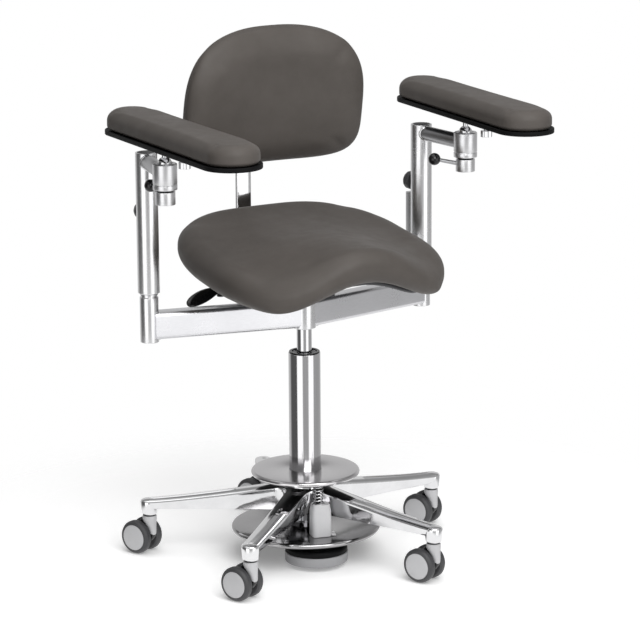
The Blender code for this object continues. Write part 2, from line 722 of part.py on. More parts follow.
def spring_points():
    """Wire centre line of the coil spring, between the block and the upper disc."""
    low = BLOCK_TOP + SEAT_GAP + SPRING_WIRE
    high = UPPER_DISC_TOP - DISC_SHEET - SEAT_GAP - SPRING_WIRE
    count = SPRING_TURNS * POINTS_PER_CURL
    points = []
    for k in range(count + 1):
        angle = math.tau * k / POINTS_PER_CURL
        height = low + (high - low) * k / count
        points.append(Vector((SPRING_RADIUS * math.cos(angle), SPRING_RADIUS * math.sin(angle), height)))
    return points


def release_spring():
    points = spring_points()
    pairs = ((a, b) for i, a in enumerate(points) for b in points[i + POINTS_PER_CURL - 2:])
    gap = min((a - b).length for a, b in pairs) - 2 * SPRING_WIRE
    print(f"release_spring least gap to itself {gap * 1000:.2f} mm")
    curve = bpy.data.curves.new("release_spring", "CURVE")
    curve.dimensions = "3D"
    curve.bevel_depth = SPRING_WIRE
    curve.bevel_resolution = 1
    curve.use_fill_caps = True
    line = curve.splines.new("POLY")
    line.points.add(len(points) - 1)
    for point, place in zip(line.points, points):
        point.co = (*place, 1)
    return curve


def add_foot_controls(star):
    bore = COLUMN_RADIUS + RUN_GAP
    add("upper_disc", foot_disc(UPPER_DISC_RADIUS, bore, UPPER_DISC_TOP), DISC_STEEL, parent=star)
    bore = BRAKE_SLEEVE_RADIUS + RUN_GAP
    add("lower_disc", foot_disc(LOWER_DISC_RADIUS, bore, LOWER_DISC_TOP), DISC_STEEL, parent=star)
    add("brake_sleeve", brake_sleeve(), DARK, parent=star)
    foot = empty("foot_side", turn=-math.pi / ARM_COUNT, parent=star)
    at_block = (BLOCK_REACH, 0, 0)
    add("spring_block", spring_block(), GREY_CAST, at_block, parent=foot)
    add("guide_rod", guide_rod(), STEEL, at_block, parent=foot)
    spring = bpy.data.objects.new("release_spring", release_spring())
    bpy.context.collection.objects.link(spring)
    spring.data.materials.append(STEEL)
    put(spring, at_block, parent=foot)
    plate_top = SHOE_REST + SHOE_HEIGHT + SEAT_GAP + SHOE_PLATE_HEIGHT
    bracket_top = LOWER_DISC_TOP - DISC_SHEET - SEAT_GAP
    bracket = prism(
        rounded_box(BRACKET_DEPTH, BRACKET_WIDTH, BRACKET_DEPTH * 0.25), plate_top + SEAT_GAP, bracket_top)
    add("shoe_bracket", bracket, GREY_CAST, at_block, parent=foot)
    rim = SHOE_PLATE_HEIGHT * 0.3
    plate_low = plate_top - SHOE_PLATE_HEIGHT
    plate = turned([
        (0, plate_top), (SHOE_PLATE_RADIUS - rim, plate_top), (SHOE_PLATE_RADIUS, plate_top - rim),
        (SHOE_PLATE_RADIUS, plate_low), (0, plate_low),
    ], DISC_ROUND - 6)
    add("brake_plate", plate, BLACK, (SHOE_REACH, 0, 0), parent=foot)
    shoe_top = SHOE_REST + SHOE_HEIGHT
    edge = SHOE_HEIGHT * 0.14
    shoe = turned([
        (0, shoe_top), (SHOE_RADIUS - edge, shoe_top), (SHOE_RADIUS, shoe_top - edge),
        (SHOE_RADIUS, SHOE_REST + edge), (SHOE_RADIUS - edge, SHOE_REST), (0, SHOE_REST),
    ], DISC_ROUND - 6)
    add("brake_shoe", shoe, RUBBER, (SHOE_REACH, 0, 0), parent=foot)


# Arm frame and arms

def beam(side):
    """Rectangular tube from the boss to one post, with round long edges."""
    along = Vector((side * POST_X, POST_Y, 0))
    length = along.length - POST_RADIUS * 0.5
    section = rounded_box(BEAM_DEPTH, BEAM_HEIGHT, BEAM_CORNER, (0, BEAM_BOTTOM + BEAM_HEIGHT / 2))
    rings = [[(x, y, z) for y, z in section] for x in (0, length)]
    turn = Matrix.Rotation(math.atan2(along.y, along.x), 4, "Z")
    return moved(skin(rings), turn=turn)


def post():
    foot = POST_TOP - POST_HEIGHT
    edge = POST_RADIUS * 0.08
    return turned([
        (0, POST_TOP + INNER_LENGTH), (INNER_RADIUS, POST_TOP + INNER_LENGTH), (INNER_RADIUS, POST_TOP),
        (POST_RADIUS - edge, POST_TOP), (POST_RADIUS, POST_TOP - edge), (POST_RADIUS, foot + edge),
        (POST_RADIUS - edge, foot), (0, foot),
    ])


def arm_frame():
    boss = turned([
        (0, FRAME_TOP), (FRAME_BOSS_RADIUS, FRAME_TOP), (FRAME_BOSS_RADIUS, FRAME_BOTTOM), (0, FRAME_BOTTOM),
    ])
    bore_top = FRAME_BOTTOM + CYLINDER_DIP + SEAT_GAP
    bore = rod(CYLINDER_RADIUS + SEAT_GAP, (0, 0, FRAME_BOTTOM - CYLINDER_RADIUS), (0, 0, bore_top), ROUND)
    joined = []
    for side in SIDES.values():
        joined += [beam(side), moved(post(), (side * POST_X, POST_Y, 0))]
    return combined(boss, joined=joined, cut=[bore])


def arm_bush():
    """Plastic bush in the sleeve's mouth; its lip shows below the sleeve."""
    inner = INNER_RADIUS + RUN_GAP
    outer = SLEEVE_RADIUS - SLEEVE_WALL - SEAT_GAP
    lip = SLEEVE_BOTTOM - SEAT_GAP
    low = lip - BUSH_SHOW
    return turned([
        (outer, lip + BUSH_LENGTH), (outer, lip), (BUSH_LIP_RADIUS, lip - BUSH_SHOW * 0.2),
        (BUSH_LIP_RADIUS, low), (inner, low), (inner, lip + BUSH_LENGTH),
    ])


def arm_sleeve():
    """Sleeve, cross tube along -Y and ball housing, welded into one piece with its guide strip behind."""
    bore = SLEEVE_RADIUS - SLEEVE_WALL
    edge = SLEEVE_ROUND
    bore_top = SLEEVE_TOP - SLEEVE_CAP
    tube = turned([
        (0, SLEEVE_TOP), (SLEEVE_RADIUS - edge, SLEEVE_TOP),
        (SLEEVE_RADIUS - 0.3 * edge, SLEEVE_TOP - 0.3 * edge), (SLEEVE_RADIUS, SLEEVE_TOP - edge),
        (SLEEVE_RADIUS, SLEEVE_BOTTOM), (bore, SLEEVE_BOTTOM), (bore, bore_top), (0, bore_top),
    ])
    radius = HOUSING_RADIUS
    groove_low = HOUSING_BOTTOM + GROOVE_HEIGHT
    groove_high = groove_low + GROOVE_WIDTH
    rim = HOUSING_GROOVE
    housing = turned([
        (0, HOUSING_TOP), (radius - rim, HOUSING_TOP), (radius, HOUSING_TOP - rim), (radius, groove_high),
        (radius - rim, groove_high), (radius - rim, groove_low), (radius, groove_low),
        (radius, HOUSING_BOTTOM + rim), (radius - rim, HOUSING_BOTTOM), (0, HOUSING_BOTTOM),
    ])
    cross_start = (0, -SLEEVE_RADIUS * 0.4, CROSS_Z)
    cross_end = (0, HOUSING_RADIUS * 0.3 - ARM_REACH, CROSS_Z)
    cross = rod(CROSS_RADIUS, cross_start, cross_end, SMALL_ROUND + 2)
    guide_top = SLEEVE_TOP - LOCK_KNOB_DROP - LOCK_KNOB_RADIUS - GUIDE_GAP
    inner_face = SLEEVE_RADIUS - 0.5 * SLEEVE_WALL
    guide = prism(
        rounded_box(GUIDE_WIDTH, GUIDE_DEPTH, GUIDE_WIDTH * 0.15, (0, inner_face + GUIDE_DEPTH / 2), 2),
        guide_top - GUIDE_LENGTH, guide_top)
    clear = turned([(0, bore_top), (bore, bore_top), (bore, SLEEVE_BOTTOM), (0, SLEEVE_BOTTOM)])
    socket = bmesh.new()
    bmesh.ops.create_uvsphere(socket, u_segments=SMALL_ROUND + 2, v_segments=8, radius=BALL_RADIUS + SOCKET_GAP)
    moved(socket, (0, -ARM_REACH, BALL_Z))
    guide = combined(guide, cut=[clear])
    return combined(tube, joined=[cross, moved(housing, (0, -ARM_REACH, 0)), guide], cut=[socket])


def hand_knob(radius, depth, stem_radius, stem_length):
    """Knob about Z, its stem's end at zero."""
    edge = depth * 0.16
    top = stem_length + depth
    return turned([
        (0, top), (radius - 2 * edge, top), (radius - 0.6 * edge, top - 0.5 * edge),
        (radius, top - 1.6 * edge), (radius, stem_length + edge), (radius - edge, stem_length),
        (stem_radius, stem_length), (stem_radius, 0), (0, 0),
    ], SMALL_ROUND + 2)


def ball_stud():
    """Ball and pin about Z, its origin at the ball's centre."""
    start = math.asin(STUD_RADIUS / BALL_RADIUS)
    steps = 7
    arc = []
    for k in range(steps + 1):
        angle = start + (math.pi - start) * k / steps
        arc.append((BALL_RADIUS * math.sin(angle), BALL_RADIUS * math.cos(angle)))
    arc[-1] = (0, -BALL_RADIUS)
    top = STUD_LENGTH - SEAT_GAP
    return turned([(0, top), (STUD_RADIUS, top), *arc], SMALL_ROUND)


def lever_way():
    return Vector((math.cos(LEVER_RISE), 0, math.sin(LEVER_RISE)))


def clamp_nut():
    """Nut under the housing with its lever rod along +X, rising; origin on the nut's axis."""
    half = NUT_HEIGHT / 2
    edge = NUT_CHAMFER
    nut = turned([
        (0, half + NUT_NECK), (NUT_NECK_RADIUS, half + NUT_NECK), (NUT_NECK_RADIUS, half),
        (NUT_RADIUS - edge, half), (NUT_RADIUS, half - edge), (NUT_RADIUS, edge - half),
        (NUT_RADIUS - edge, -half), (0, -half),
    ])
    way = lever_way()
    end = LEVER_LENGTH - LEVER_BALL_RADIUS + LEVER_GRIP - SEAT_GAP
    return combined(nut, joined=[rod(LEVER_RADIUS, way * NUT_RADIUS * 0.6, way * end, ROD_ROUND)])


def lever_ball():
    """Ball grip about Z with a blind hole for the rod, its centre at zero."""
    hole = LEVER_RADIUS + SEAT_GAP
    start = math.asin(hole / LEVER_BALL_RADIUS)
    steps = 6
    arc = []
    for k in range(steps + 1):
        angle = math.pi - start - (math.pi - start) * k / steps
        arc.append((LEVER_BALL_RADIUS * math.sin(angle), LEVER_BALL_RADIUS * math.cos(angle)))
    arc[-1] = (0, LEVER_BALL_RADIUS)
    depth = LEVER_GRIP - LEVER_BALL_RADIUS
    return turned([(0, depth), (hole, depth), *arc], SMALL_ROUND)


def pad_rail():
    """Flat rail under the plate, forward along -Y, with a lug and hole for the thumbscrew."""
    half, lug = RAIL_WIDTH / 2, LUG_WIDTH / 2
    back, front = RAIL_LENGTH / 2, -RAIL_LENGTH / 2
    tip = front - LUG_LENGTH
    cut = LUG_WIDTH * 0.3
    outline = [
        (-half, back), (-half, front), (-lug, front), (-lug, tip + cut), (cut - lug, tip),
        (lug - cut, tip), (lug, tip + cut), (lug, front), (half, front), (half, back),
    ]
    rings = [[(x, y, z) for x, y in outline] for z in (RAIL_BOTTOM - BALL_Z, RAIL_TOP - BALL_Z)]
    y = tip + SCREW_INSET
    low, high = STUD_LENGTH - SCREW_RADIUS, STUD_LENGTH + 2 * RAIL_THICKNESS
    hole = rod(SCREW_RADIUS + RUN_GAP, (0, y, low), (0, y, high))
    return combined(skin(rings), cut=[hole])


def thumbscrew():
    """Clamp screw about Z, its shank's top at zero."""
    shank = RAIL_THICKNESS + SCREW_SHOW
    low = -shank - SCREW_HEAD_HEIGHT
    edge = SCREW_HEAD_HEIGHT * 0.12
    wash = 1.5 * SCREW_RADIUS
    return turned([
        (0, 0), (SCREW_RADIUS, 0), (SCREW_RADIUS, -RAIL_THICKNESS - SEAT_GAP - RUN_GAP),
        (wash, -RAIL_THICKNESS - 2 * RUN_GAP), (wash, -RAIL_THICKNESS - 0.4 * SCREW_SHOW),
        (SCREW_RADIUS, -RAIL_THICKNESS - 0.6 * SCREW_SHOW), (SCREW_RADIUS, -shank),
        (SCREW_HEAD_RADIUS - edge, -shank), (SCREW_HEAD_RADIUS, -shank - edge),
        (SCREW_HEAD_RADIUS, low + edge), (SCREW_HEAD_RADIUS - edge, low), (0, low),
    ], SMALL_ROUND)


def pad_plate():
    rings = []
    low, high = PLATE_BOTTOM - BALL_Z, PLATE_TOP - BALL_Z
    edge = PLATE_CHAMFER
    for height, inset in ((low, edge), (low + edge, 0), (high - edge, 0), (high, edge)):
        ring = []
        for angle in around(PAD_ROUND):
            x, y = stadium(angle, PLATE_LENGTH - 2 * inset, PLATE_WIDTH - 2 * inset)
            ring.append((x, y, height))
        rings.append(ring)
    return skin(rings)


def pad_cushion():
    """Arm pad: stadium plan, crowned top, rolled upper edge and a tucked-in lower edge."""
    length, width = PLATE_LENGTH - 2 * PAD_INSET, PLATE_WIDTH - 2 * PAD_INSET
    top = PLATE_TOP + SEAT_GAP + PAD_THICKNESS - BALL_Z

    def outline(angle, inset):
        return stadium(angle, length - 2 * inset, width - 2 * inset)

    def place(x, y, depth):
        crown = PAD_CROWN * (2 * x / width) ** 2 * (1 - depth / PAD_THICKNESS)
        return x, y, top - depth - crown

    rings = roll_rings(PAD_THICKNESS, PAD_TOP_ROLL, PAD_LOW_ROLL, [width * 0.36], [width * 0.36])
    return pillow(rings, outline, place, PAD_ROUND)


def add_arm(name, side):
    turn = side * ARM_TURNS[name]
    arm = empty(f"arm_{name}", (side * POST_X, POST_Y, 0), turn)
    add(f"arm_bush_{name}", arm_bush(), BLACK, parent=arm)
    add(f"arm_sleeve_{name}", arm_sleeve(), STEEL, parent=arm)
    knob = hand_knob(LOCK_KNOB_RADIUS, LOCK_KNOB_DEPTH, KNOB_STEM_RADIUS, KNOB_STEM_LENGTH)
    knob_place = (0, SLEEVE_RADIUS + SEAT_GAP, SLEEVE_TOP - LOCK_KNOB_DROP)
    add(f"lock_knob_{name}", knob, DARK, knob_place, (-math.pi / 2, 0, 0), arm)
    nut_z = HOUSING_BOTTOM - SEAT_GAP - NUT_NECK - NUT_HEIGHT / 2
    nut = empty(f"clamp_{name}", (0, -ARM_REACH, nut_z), LEVER_TURNS[name] - turn, arm)
    add(f"clamp_nut_{name}", clamp_nut(), STEEL, parent=nut)
    along_lever = (0, math.pi / 2 - LEVER_RISE, 0)
    add(f"lever_ball_{name}", lever_ball(), BLACK, lever_way() * LEVER_LENGTH, along_lever, nut)
    ball = empty(f"ball_{name}", (0, -ARM_REACH, BALL_Z), PAD_TURNS[name] - turn, arm)
    add(f"ball_stud_{name}", ball_stud(), STEEL, parent=ball)
    add(f"pad_rail_{name}", pad_rail(), STEEL, parent=ball)
    screw_place = (0, SCREW_INSET - LUG_LENGTH - RAIL_LENGTH / 2, RAIL_TOP - BALL_Z)
    add(f"thumbscrew_{name}", thumbscrew(), CHROME, screw_place, parent=ball)
    slide = (0, -PAD_SLIDES[name], 0)
    add(f"pad_plate_{name}", pad_plate(), BLACK, slide, parent=ball)
    add(f"arm_pad_{name}", pad_cushion(), LEATHER, slide, parent=ball)


# Seat

def seat_outline(angle, inset):
    return squarish(
        angle, SEAT_HALF_WIDTH - inset, SEAT_REAR - inset, SEAT_FRONT - inset, SEAT_SQUARE)


def seat_swell(x, y):
    """Height of the saddle's underside: raised front middle, drooping wings, raised rear."""
    across = (x / SEAT_HALF_WIDTH) ** 2
    ridge = 1 - min(1, across / WING_SHARE ** 2)
    forward = max(0, 0.5 - 0.5 * y / SEAT_FRONT)
    rear = max(0, y / SEAT_REAR)
    rise = POMMEL_RISE * forward ** 2 + REAR_RISE * rear ** 2 + SIDE_RISE * across
    return SEAT_BOTTOM + rise - WING_DROP * (1 - ridge ** 2) * forward ** WING_FADE


def seat_insets():
    """Rings where the cushion lies on its pan."""
    return [PAN_INSET + (SEAT_HALF_WIDTH - PAN_INSET) * share for share in (0, 0.45)]


def seat_cushion():
    def place(x, y, depth):
        return x, y + SEAT_CENTRE_Y - PIVOT_Y, seat_swell(x, y) + SEAT_THICKNESS - depth - PIVOT_Z

    top_insets = [SEAT_HALF_WIDTH * share for share in (0.7, 0.36)]
    rings = roll_rings(SEAT_THICKNESS, SEAT_TOP_ROLL, SEAT_LOW_ROLL, top_insets, seat_insets())
    return pillow(rings, seat_outline, place, CUSHION_ROUND)


def seat_pan():
    """Moulded pan under the cushion, with two ears on the pivot pin."""
    def place(x, y, depth):
        height = seat_swell(x, y) - SEAT_GAP - depth - PIVOT_Z
        return x, y + SEAT_CENTRE_Y - PIVOT_Y, height

    shell = pillow(shell_rings(PAN_THICKNESS, seat_insets()), seat_outline, place, CUSHION_ROUND)
    ear_x = CARRIER_HALF_WIDTH - CARRIER_SHEET - RUN_GAP - EAR_THICKNESS / 2
    ear_top = SEAT_BOTTOM - PIVOT_Z - 0.5 * PAN_THICKNESS
    ears = []
    for side in (-1, 1):
        foot = [(EAR_RADIUS * math.sin(a), -EAR_RADIUS * math.cos(a)) for a in EAR_ANGLES]
        outline = foot + [(2 * EAR_RADIUS, ear_top), (-2 * EAR_RADIUS, ear_top)]
        faces = (side * ear_x - EAR_THICKNESS / 2, side * ear_x + EAR_THICKNESS / 2)
        ears.append(skin([[(x, y, z) for y, z in outline] for x in faces]))
    hole = rod(PIN_RADIUS + RUN_GAP, (-CARRIER_HALF_WIDTH, 0, 0), (CARRIER_HALF_WIDTH, 0, 0), ROD_ROUND)
    return combined(shell, joined=ears, cut=[hole])


def seat_carrier():
    """Pressed channel on the boss, its walls drilled for the seat's pivot pin."""
    half, sheet = CARRIER_HALF_WIDTH, CARRIER_SHEET
    top = CARRIER_BOTTOM + CARRIER_HEIGHT
    section = [
        (-half, top), (-half, CARRIER_BOTTOM), (half, CARRIER_BOTTOM), (half, top), (half - sheet, top),
        (half - sheet, CARRIER_FLOOR), (sheet - half, CARRIER_FLOOR), (sheet - half, top),
    ]
    channel = skin([[(x, y, z) for x, z in section] for y in (CARRIER_FRONT, CARRIER_REAR)])
    hole = rod(PIN_RADIUS + SEAT_GAP, (-2 * half, PIVOT_Y, PIVOT_Z), (2 * half, PIVOT_Y, PIVOT_Z), ROD_ROUND)
    return combined(channel, cut=[hole])


def paddle_lever(reach, drop, paddle_half_width, tilt):
    """Lever along -X from its pivot, with a blunt inner tip and a flat, drooping, tilted paddle."""
    neck = LEVER_NECK
    tip = 0.45 * neck
    stations = (
        (0.0, 0, tip, tip), (tip / reach, 0, neck, neck), (0.50, 0.10, neck, neck),
        (0.62, 0.3, 0.7 * paddle_half_width, 0.9 * neck), (0.78, 0.6, paddle_half_width, 0.95 * neck),
        (0.93, 0.9, 0.85 * paddle_half_width, 0.8 * neck), (1.0, 1.0, 0.4 * paddle_half_width, 0.45 * neck),
    )
    rings = []
    for share, fall, wide, tall in stations:
        ring = []
        for angle in around(LEVER_SIDES):
            y, z = wide * math.cos(angle), tall * math.sin(angle)
            across, up = y * math.cos(tilt) - z * math.sin(tilt), y * math.sin(tilt) + z * math.cos(tilt)
            ring.append((-reach * share, across, up - drop * fall))
        rings.append(ring)
    return skin(rings)


def add_seat():
    add("arm_frame", arm_frame(), STEEL)
    add("seat_carrier", seat_carrier(), BLACK)
    pivot = (0, PIVOT_Y, PIVOT_Z)
    add("seat_pan", seat_pan(), BLACK, pivot)
    add("seat_cushion", seat_cushion(), LEATHER, pivot)
    reach = CARRIER_HALF_WIDTH + PIN_PROUD
    add("seat_pivot_pin", rod(PIN_RADIUS, (-reach, 0, 0), (reach, 0, 0), ROD_ROUND), STEEL, pivot)
    lever_x = -CARRIER_HALF_WIDTH - SEAT_GAP
    lever_z = CARRIER_BOTTOM + LEVER_PIVOT_RISE
    long_lever = paddle_lever(SEAT_LEVER_REACH, SEAT_LEVER_DROP, SEAT_PADDLE_HALF_WIDTH, SEAT_PADDLE_TILT)
    add("seat_lever", long_lever, BLACK, (lever_x, SEAT_LEVER_Y, lever_z))
    short_lever = paddle_lever(TILT_LEVER_REACH, TILT_LEVER_DROP, TILT_PADDLE_HALF_WIDTH, TILT_PADDLE_TILT)
    add("tilt_lever", short_lever, BLACK, (lever_x, TILT_LEVER_Y, lever_z))


# Back

def back_bar():
    """Flat bar: along the carrier's floor, round a bend, then upright."""
    half = BAR_THICKNESS / 2
    run_z = BAR_BOTTOM + half
    centre = (BAR_Y - BAR_BEND, run_z + BAR_BEND)
    angles = [-math.pi / 2 + k / (2 * ARC_STEPS) * math.pi / 2 for k in range(2 * ARC_STEPS + 1)]

    def edge(offset):
        bend = BAR_BEND + offset
        arc = [(centre[0] + bend * math.cos(a), centre[1] + bend * math.sin(a)) for a in angles]
        return [(BAR_START, run_z - offset), *arc, (BAR_Y + offset, BAR_TOP)]

    outline = edge(half) + edge(-half)[::-1]
    return skin([[(x, y, z) for y, z in outline] for x in (-BAR_WIDTH / 2, BAR_WIDTH / 2)])


def back_slider():
    """Block that slides on the bar, with two ears and a hinge pin in front."""
    slot_x = BAR_WIDTH / 2 + RUN_GAP
    slot_y = BAR_THICKNESS / 2 + RUN_GAP
    depth = slot_y + SLIDER_WALL
    low, high = HINGE_Z - SLIDER_HEIGHT / 2, HINGE_Z + SLIDER_HEIGHT / 2
    block = prism(rounded_box(2 * SLIDER_HALF_WIDTH, 2 * depth, SLIDER_WALL * 0.4, (0, BAR_Y)), low, high)
    slot = prism(rounded_box(2 * slot_x, 2 * slot_y, slot_y * 0.1, (0, BAR_Y), 1), low - depth, high + depth)
    ears = []
    for side in (-1, 1):
        tip = CLEVIS_RADIUS
        nose = [(HINGE_Y - tip * math.cos(a), HINGE_Z + tip * math.sin(a)) for a in EAR_ANGLES]
        back = BAR_Y - slot_y - 0.5 * SLIDER_WALL
        outline = [(back, HINGE_Z - CLEVIS_RADIUS), *nose, (back, HINGE_Z + CLEVIS_RADIUS)]
        faces = (side * SLIDER_HALF_WIDTH, side * (SLIDER_HALF_WIDTH - CLEVIS_WALL))
        ears.append(skin([[(x, y, z) for y, z in outline] for x in faces]))
    reach = SLIDER_HALF_WIDTH - 0.5 * CLEVIS_WALL
    pin = rod(HINGE_RADIUS, (-reach, HINGE_Y, HINGE_Z), (reach, HINGE_Y, HINGE_Z), ROD_ROUND)
    return combined(block, joined=[*ears, pin], cut=[slot])


def back_outline(angle, inset):
    square = BACK_TOP_SQUARE if math.sin(angle) > 0 else BACK_LOW_SQUARE
    return squarish(angle, BACK_HALF_WIDTH - inset, BACK_UP - inset, BACK_DOWN - inset, square)


def back_face(x):
    return BACK_FRONT_Y - BACK_WRAP * (x / BACK_HALF_WIDTH) ** 2


def back_insets():
    """Rings where the cushion lies on its shell."""
    return [SHELL_INSET + (BACK_DOWN - SHELL_INSET) * share for share in (0, 0.5)]


def backrest_cushion():
    def place(x, z, depth):
        share = (x / BACK_HALF_WIDTH) ** 2 + (z / (BACK_UP if z > 0 else BACK_DOWN)) ** 2
        crown = BACK_CROWN * min(1, share) * (1 - depth / BACK_THICKNESS)
        return x, back_face(x) + crown + depth - HINGE_Y, z + BACK_MID_Z - HINGE_Z

    rings = roll_rings(BACK_THICKNESS, BACK_TOP_ROLL, BACK_LOW_ROLL, [BACK_DOWN * 0.6], back_insets())
    return pillow(rings, back_outline, place, CUSHION_ROUND)


def backrest_shell():
    """Shell behind the cushion, with a hinge eye between the slider's ears."""
    def place(x, z, depth):
        return x, back_face(x) + BACK_THICKNESS + SEAT_GAP + depth - HINGE_Y, z + BACK_MID_Z - HINGE_Z

    shell = pillow(shell_rings(SHELL_THICKNESS, back_insets()), back_outline, place, CUSHION_ROUND)
    half = SLIDER_HALF_WIDTH - CLEVIS_WALL - RUN_GAP
    front = back_face(0) + BACK_THICKNESS + 0.5 * SHELL_THICKNESS - HINGE_Y
    eye = 1.6 * HINGE_RADIUS
    nose = [(eye * math.cos(a), eye * math.sin(a)) for a in EAR_ANGLES]
    outline = [(front, -1.6 * eye), *nose, (front, 1.6 * eye)]
    lug = skin([[(x, y, z) for y, z in outline] for x in (-half, half)])
    hole = rod(HINGE_RADIUS + RUN_GAP, (-2 * half, 0, 0), (2 * half, 0, 0), ROD_ROUND)
    return combined(shell, joined=[lug], cut=[hole])


def add_back():
    add("back_bar", back_bar(), CHROME)
    add("back_slider", back_slider(), BLACK)
    knob = hand_knob(BACK_KNOB_RADIUS, BACK_KNOB_DEPTH, KNOB_STEM_RADIUS, KNOB_STEM_LENGTH)
    knob_y = BAR_Y + BAR_THICKNESS / 2 + RUN_GAP + SLIDER_WALL + SEAT_GAP
    add("back_knob", knob, BLACK, (0, knob_y, HINGE_Z), (-math.pi / 2, 0, 0))
    hinge = (0, HINGE_Y, HINGE_Z)
    add("backrest_shell", backrest_shell(), BLACK, hinge, (BACK_TILT, 0, 0))
    add("backrest_cushion", backrest_cushion(), LEATHER, hinge, (BACK_TILT, 0, 0))


def main():
    star = empty("star", turn=STAR_TURN)
    add("star_base", star_base(), CHROME, parent=star)
    add_casters(star)
    add("column_tube", column_tube(), STEEL, parent=star)
    add("column_collar", column_collar(), BLACK, parent=star)
    add_foot_controls(star)
    add("gas_cylinder", gas_cylinder(), CHROME)
    add_seat()
    add_back()
    for name, side in SIDES.items():
        add_arm(name, side)
    bpy.context.view_layer.update()


main()
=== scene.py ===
import json
import math

import bmesh
import bpy
from bmesh.types import BMEdge, BMFace, BMVert
from mathutils import Matrix, Vector


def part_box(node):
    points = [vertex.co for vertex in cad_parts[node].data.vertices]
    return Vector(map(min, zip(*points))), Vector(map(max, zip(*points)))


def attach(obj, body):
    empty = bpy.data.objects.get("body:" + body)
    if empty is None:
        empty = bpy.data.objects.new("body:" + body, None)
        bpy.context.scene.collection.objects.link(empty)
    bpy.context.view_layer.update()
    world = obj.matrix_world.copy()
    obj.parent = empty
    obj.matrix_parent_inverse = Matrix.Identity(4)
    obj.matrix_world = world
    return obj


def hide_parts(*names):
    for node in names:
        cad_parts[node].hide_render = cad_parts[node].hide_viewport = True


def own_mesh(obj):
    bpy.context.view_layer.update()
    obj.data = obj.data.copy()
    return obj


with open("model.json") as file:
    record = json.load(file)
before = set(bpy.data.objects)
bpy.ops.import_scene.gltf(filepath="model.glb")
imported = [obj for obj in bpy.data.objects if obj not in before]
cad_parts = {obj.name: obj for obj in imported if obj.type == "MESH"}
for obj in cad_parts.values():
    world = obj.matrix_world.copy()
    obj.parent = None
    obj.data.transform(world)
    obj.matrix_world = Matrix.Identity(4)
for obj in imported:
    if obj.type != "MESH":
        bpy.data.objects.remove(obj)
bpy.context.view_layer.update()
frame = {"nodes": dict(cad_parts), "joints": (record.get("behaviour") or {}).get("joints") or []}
scene = bpy.context.scene
joints = {joint["name"]: joint for joint in frame["joints"]}
column = Vector(joints["seat_swivel"]["pos_m"])  # floor point under the column
sides = ("right", "left")  # the sitter's sides
sideways = Vector((1, 0, 0))
print("frame loaded,", len(frame["nodes"]), "nodes")


# reading the frame

def anchor(name):
    return Vector(joints[name]["pos_m"])


def axisOf(name):
    return Vector(joints[name]["axis"])


def middle(name):
    low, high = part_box(name)
    return (low + high) / 2


def levels(name):
    low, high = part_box(name)
    return low.z, high.z


def onFloor(point):
    return Vector((point.x, point.y, 0))


def headingOf(way):
    return math.atan2(way.y, way.x)


# shaping

def only(geom, kind):
    return [g for g in geom if isinstance(g, kind)]


def turnAbout(bm, axis, angle=math.pi / 2):
    bmesh.ops.rotate(bm, verts=bm.verts, cent=(0, 0, 0), matrix=Matrix.Rotation(angle, 3, axis))
    return bm


def closeSeams(bm):
    bmesh.ops.remove_doubles(bm, verts=bm.verts, dist=1e-6)
    bmesh.ops.recalc_face_normals(bm, faces=bm.faces)
    return bm


def fullSpin(bm, steps):
    bmesh.ops.spin(
        bm, geom=bm.verts[:] + bm.edges[:], cent=(0, 0, 0), axis=(0, 0, 1), angle=math.tau, steps=steps,
        use_merge=True)
    return closeSeams(bm)


def lathe(profile, steps=72):
    # turned shape about Z from radius and height pairs, open at the axis or a closed ring
    bm = bmesh.new()
    points = [bm.verts.new((radius, 0, height)) for radius, height in profile]
    for pair in zip(points, points[1:]):
        bm.edges.new(pair)
    if profile[0][0] > 0:
        bm.edges.new((points[-1], points[0]))
    return fullSpin(bm, steps)


def plainRod(radius, low, high, steps):
    return lathe([(0, high), (radius, high), (radius, low), (0, low)], steps)


def plainRing(outer, inner, low, high, steps):
    return lathe([(outer, high), (outer, low), (inner, low), (inner, high)], steps)


def arc(radius, centre, start, end, steps):
    # radius and height pairs round a ball or a roll, with the lean measured from its top
    leans = [start + (end - start) * k / steps for k in range(steps + 1)]
    return [(radius * math.sin(lean), centre + radius * math.cos(lean)) for lean in leans]


def roundEdges(bm, edges, width, segments):
    bmesh.ops.bevel(
        bm, geom=edges, offset=width, offset_type="OFFSET", segments=segments, profile=0.5, affect="EDGES",
        clamp_overlap=True, material=-1)
    return bm


def soften(bm, width, sharper=30, segments=3):
    # rounds every edge sharper than the given degrees
    sharp = [e for e in bm.edges if e.is_manifold and e.calc_face_angle() > math.radians(sharper)]
    return roundEdges(bm, sharp, width, segments)


def edgesAlong(bm, axis):
    # long edges of a block that run along x, y or z, given as 0, 1 or 2
    return [e for e in bm.edges if abs((e.verts[0].co - e.verts[1].co)[axis]) > 0.01]


def slab(outline, low, high):
    # flat plate of an outline in plan
    bm = bmesh.new()
    face = bm.faces.new([bm.verts.new((x, y, low)) for x, y in outline])
    raised = bmesh.ops.extrude_face_region(bm, geom=[face])["geom"]
    bmesh.ops.translate(bm, verts=only(raised, BMVert), vec=(0, 0, high - low))
    bmesh.ops.recalc_face_normals(bm, faces=bm.faces)
    return bm


def block(size, centre=(0, 0, 0)):
    bm = bmesh.new()
    bmesh.ops.create_cube(bm, size=1)
    bmesh.ops.scale(bm, verts=bm.verts, vec=size)
    bmesh.ops.translate(bm, verts=bm.verts, vec=centre)
    return bm


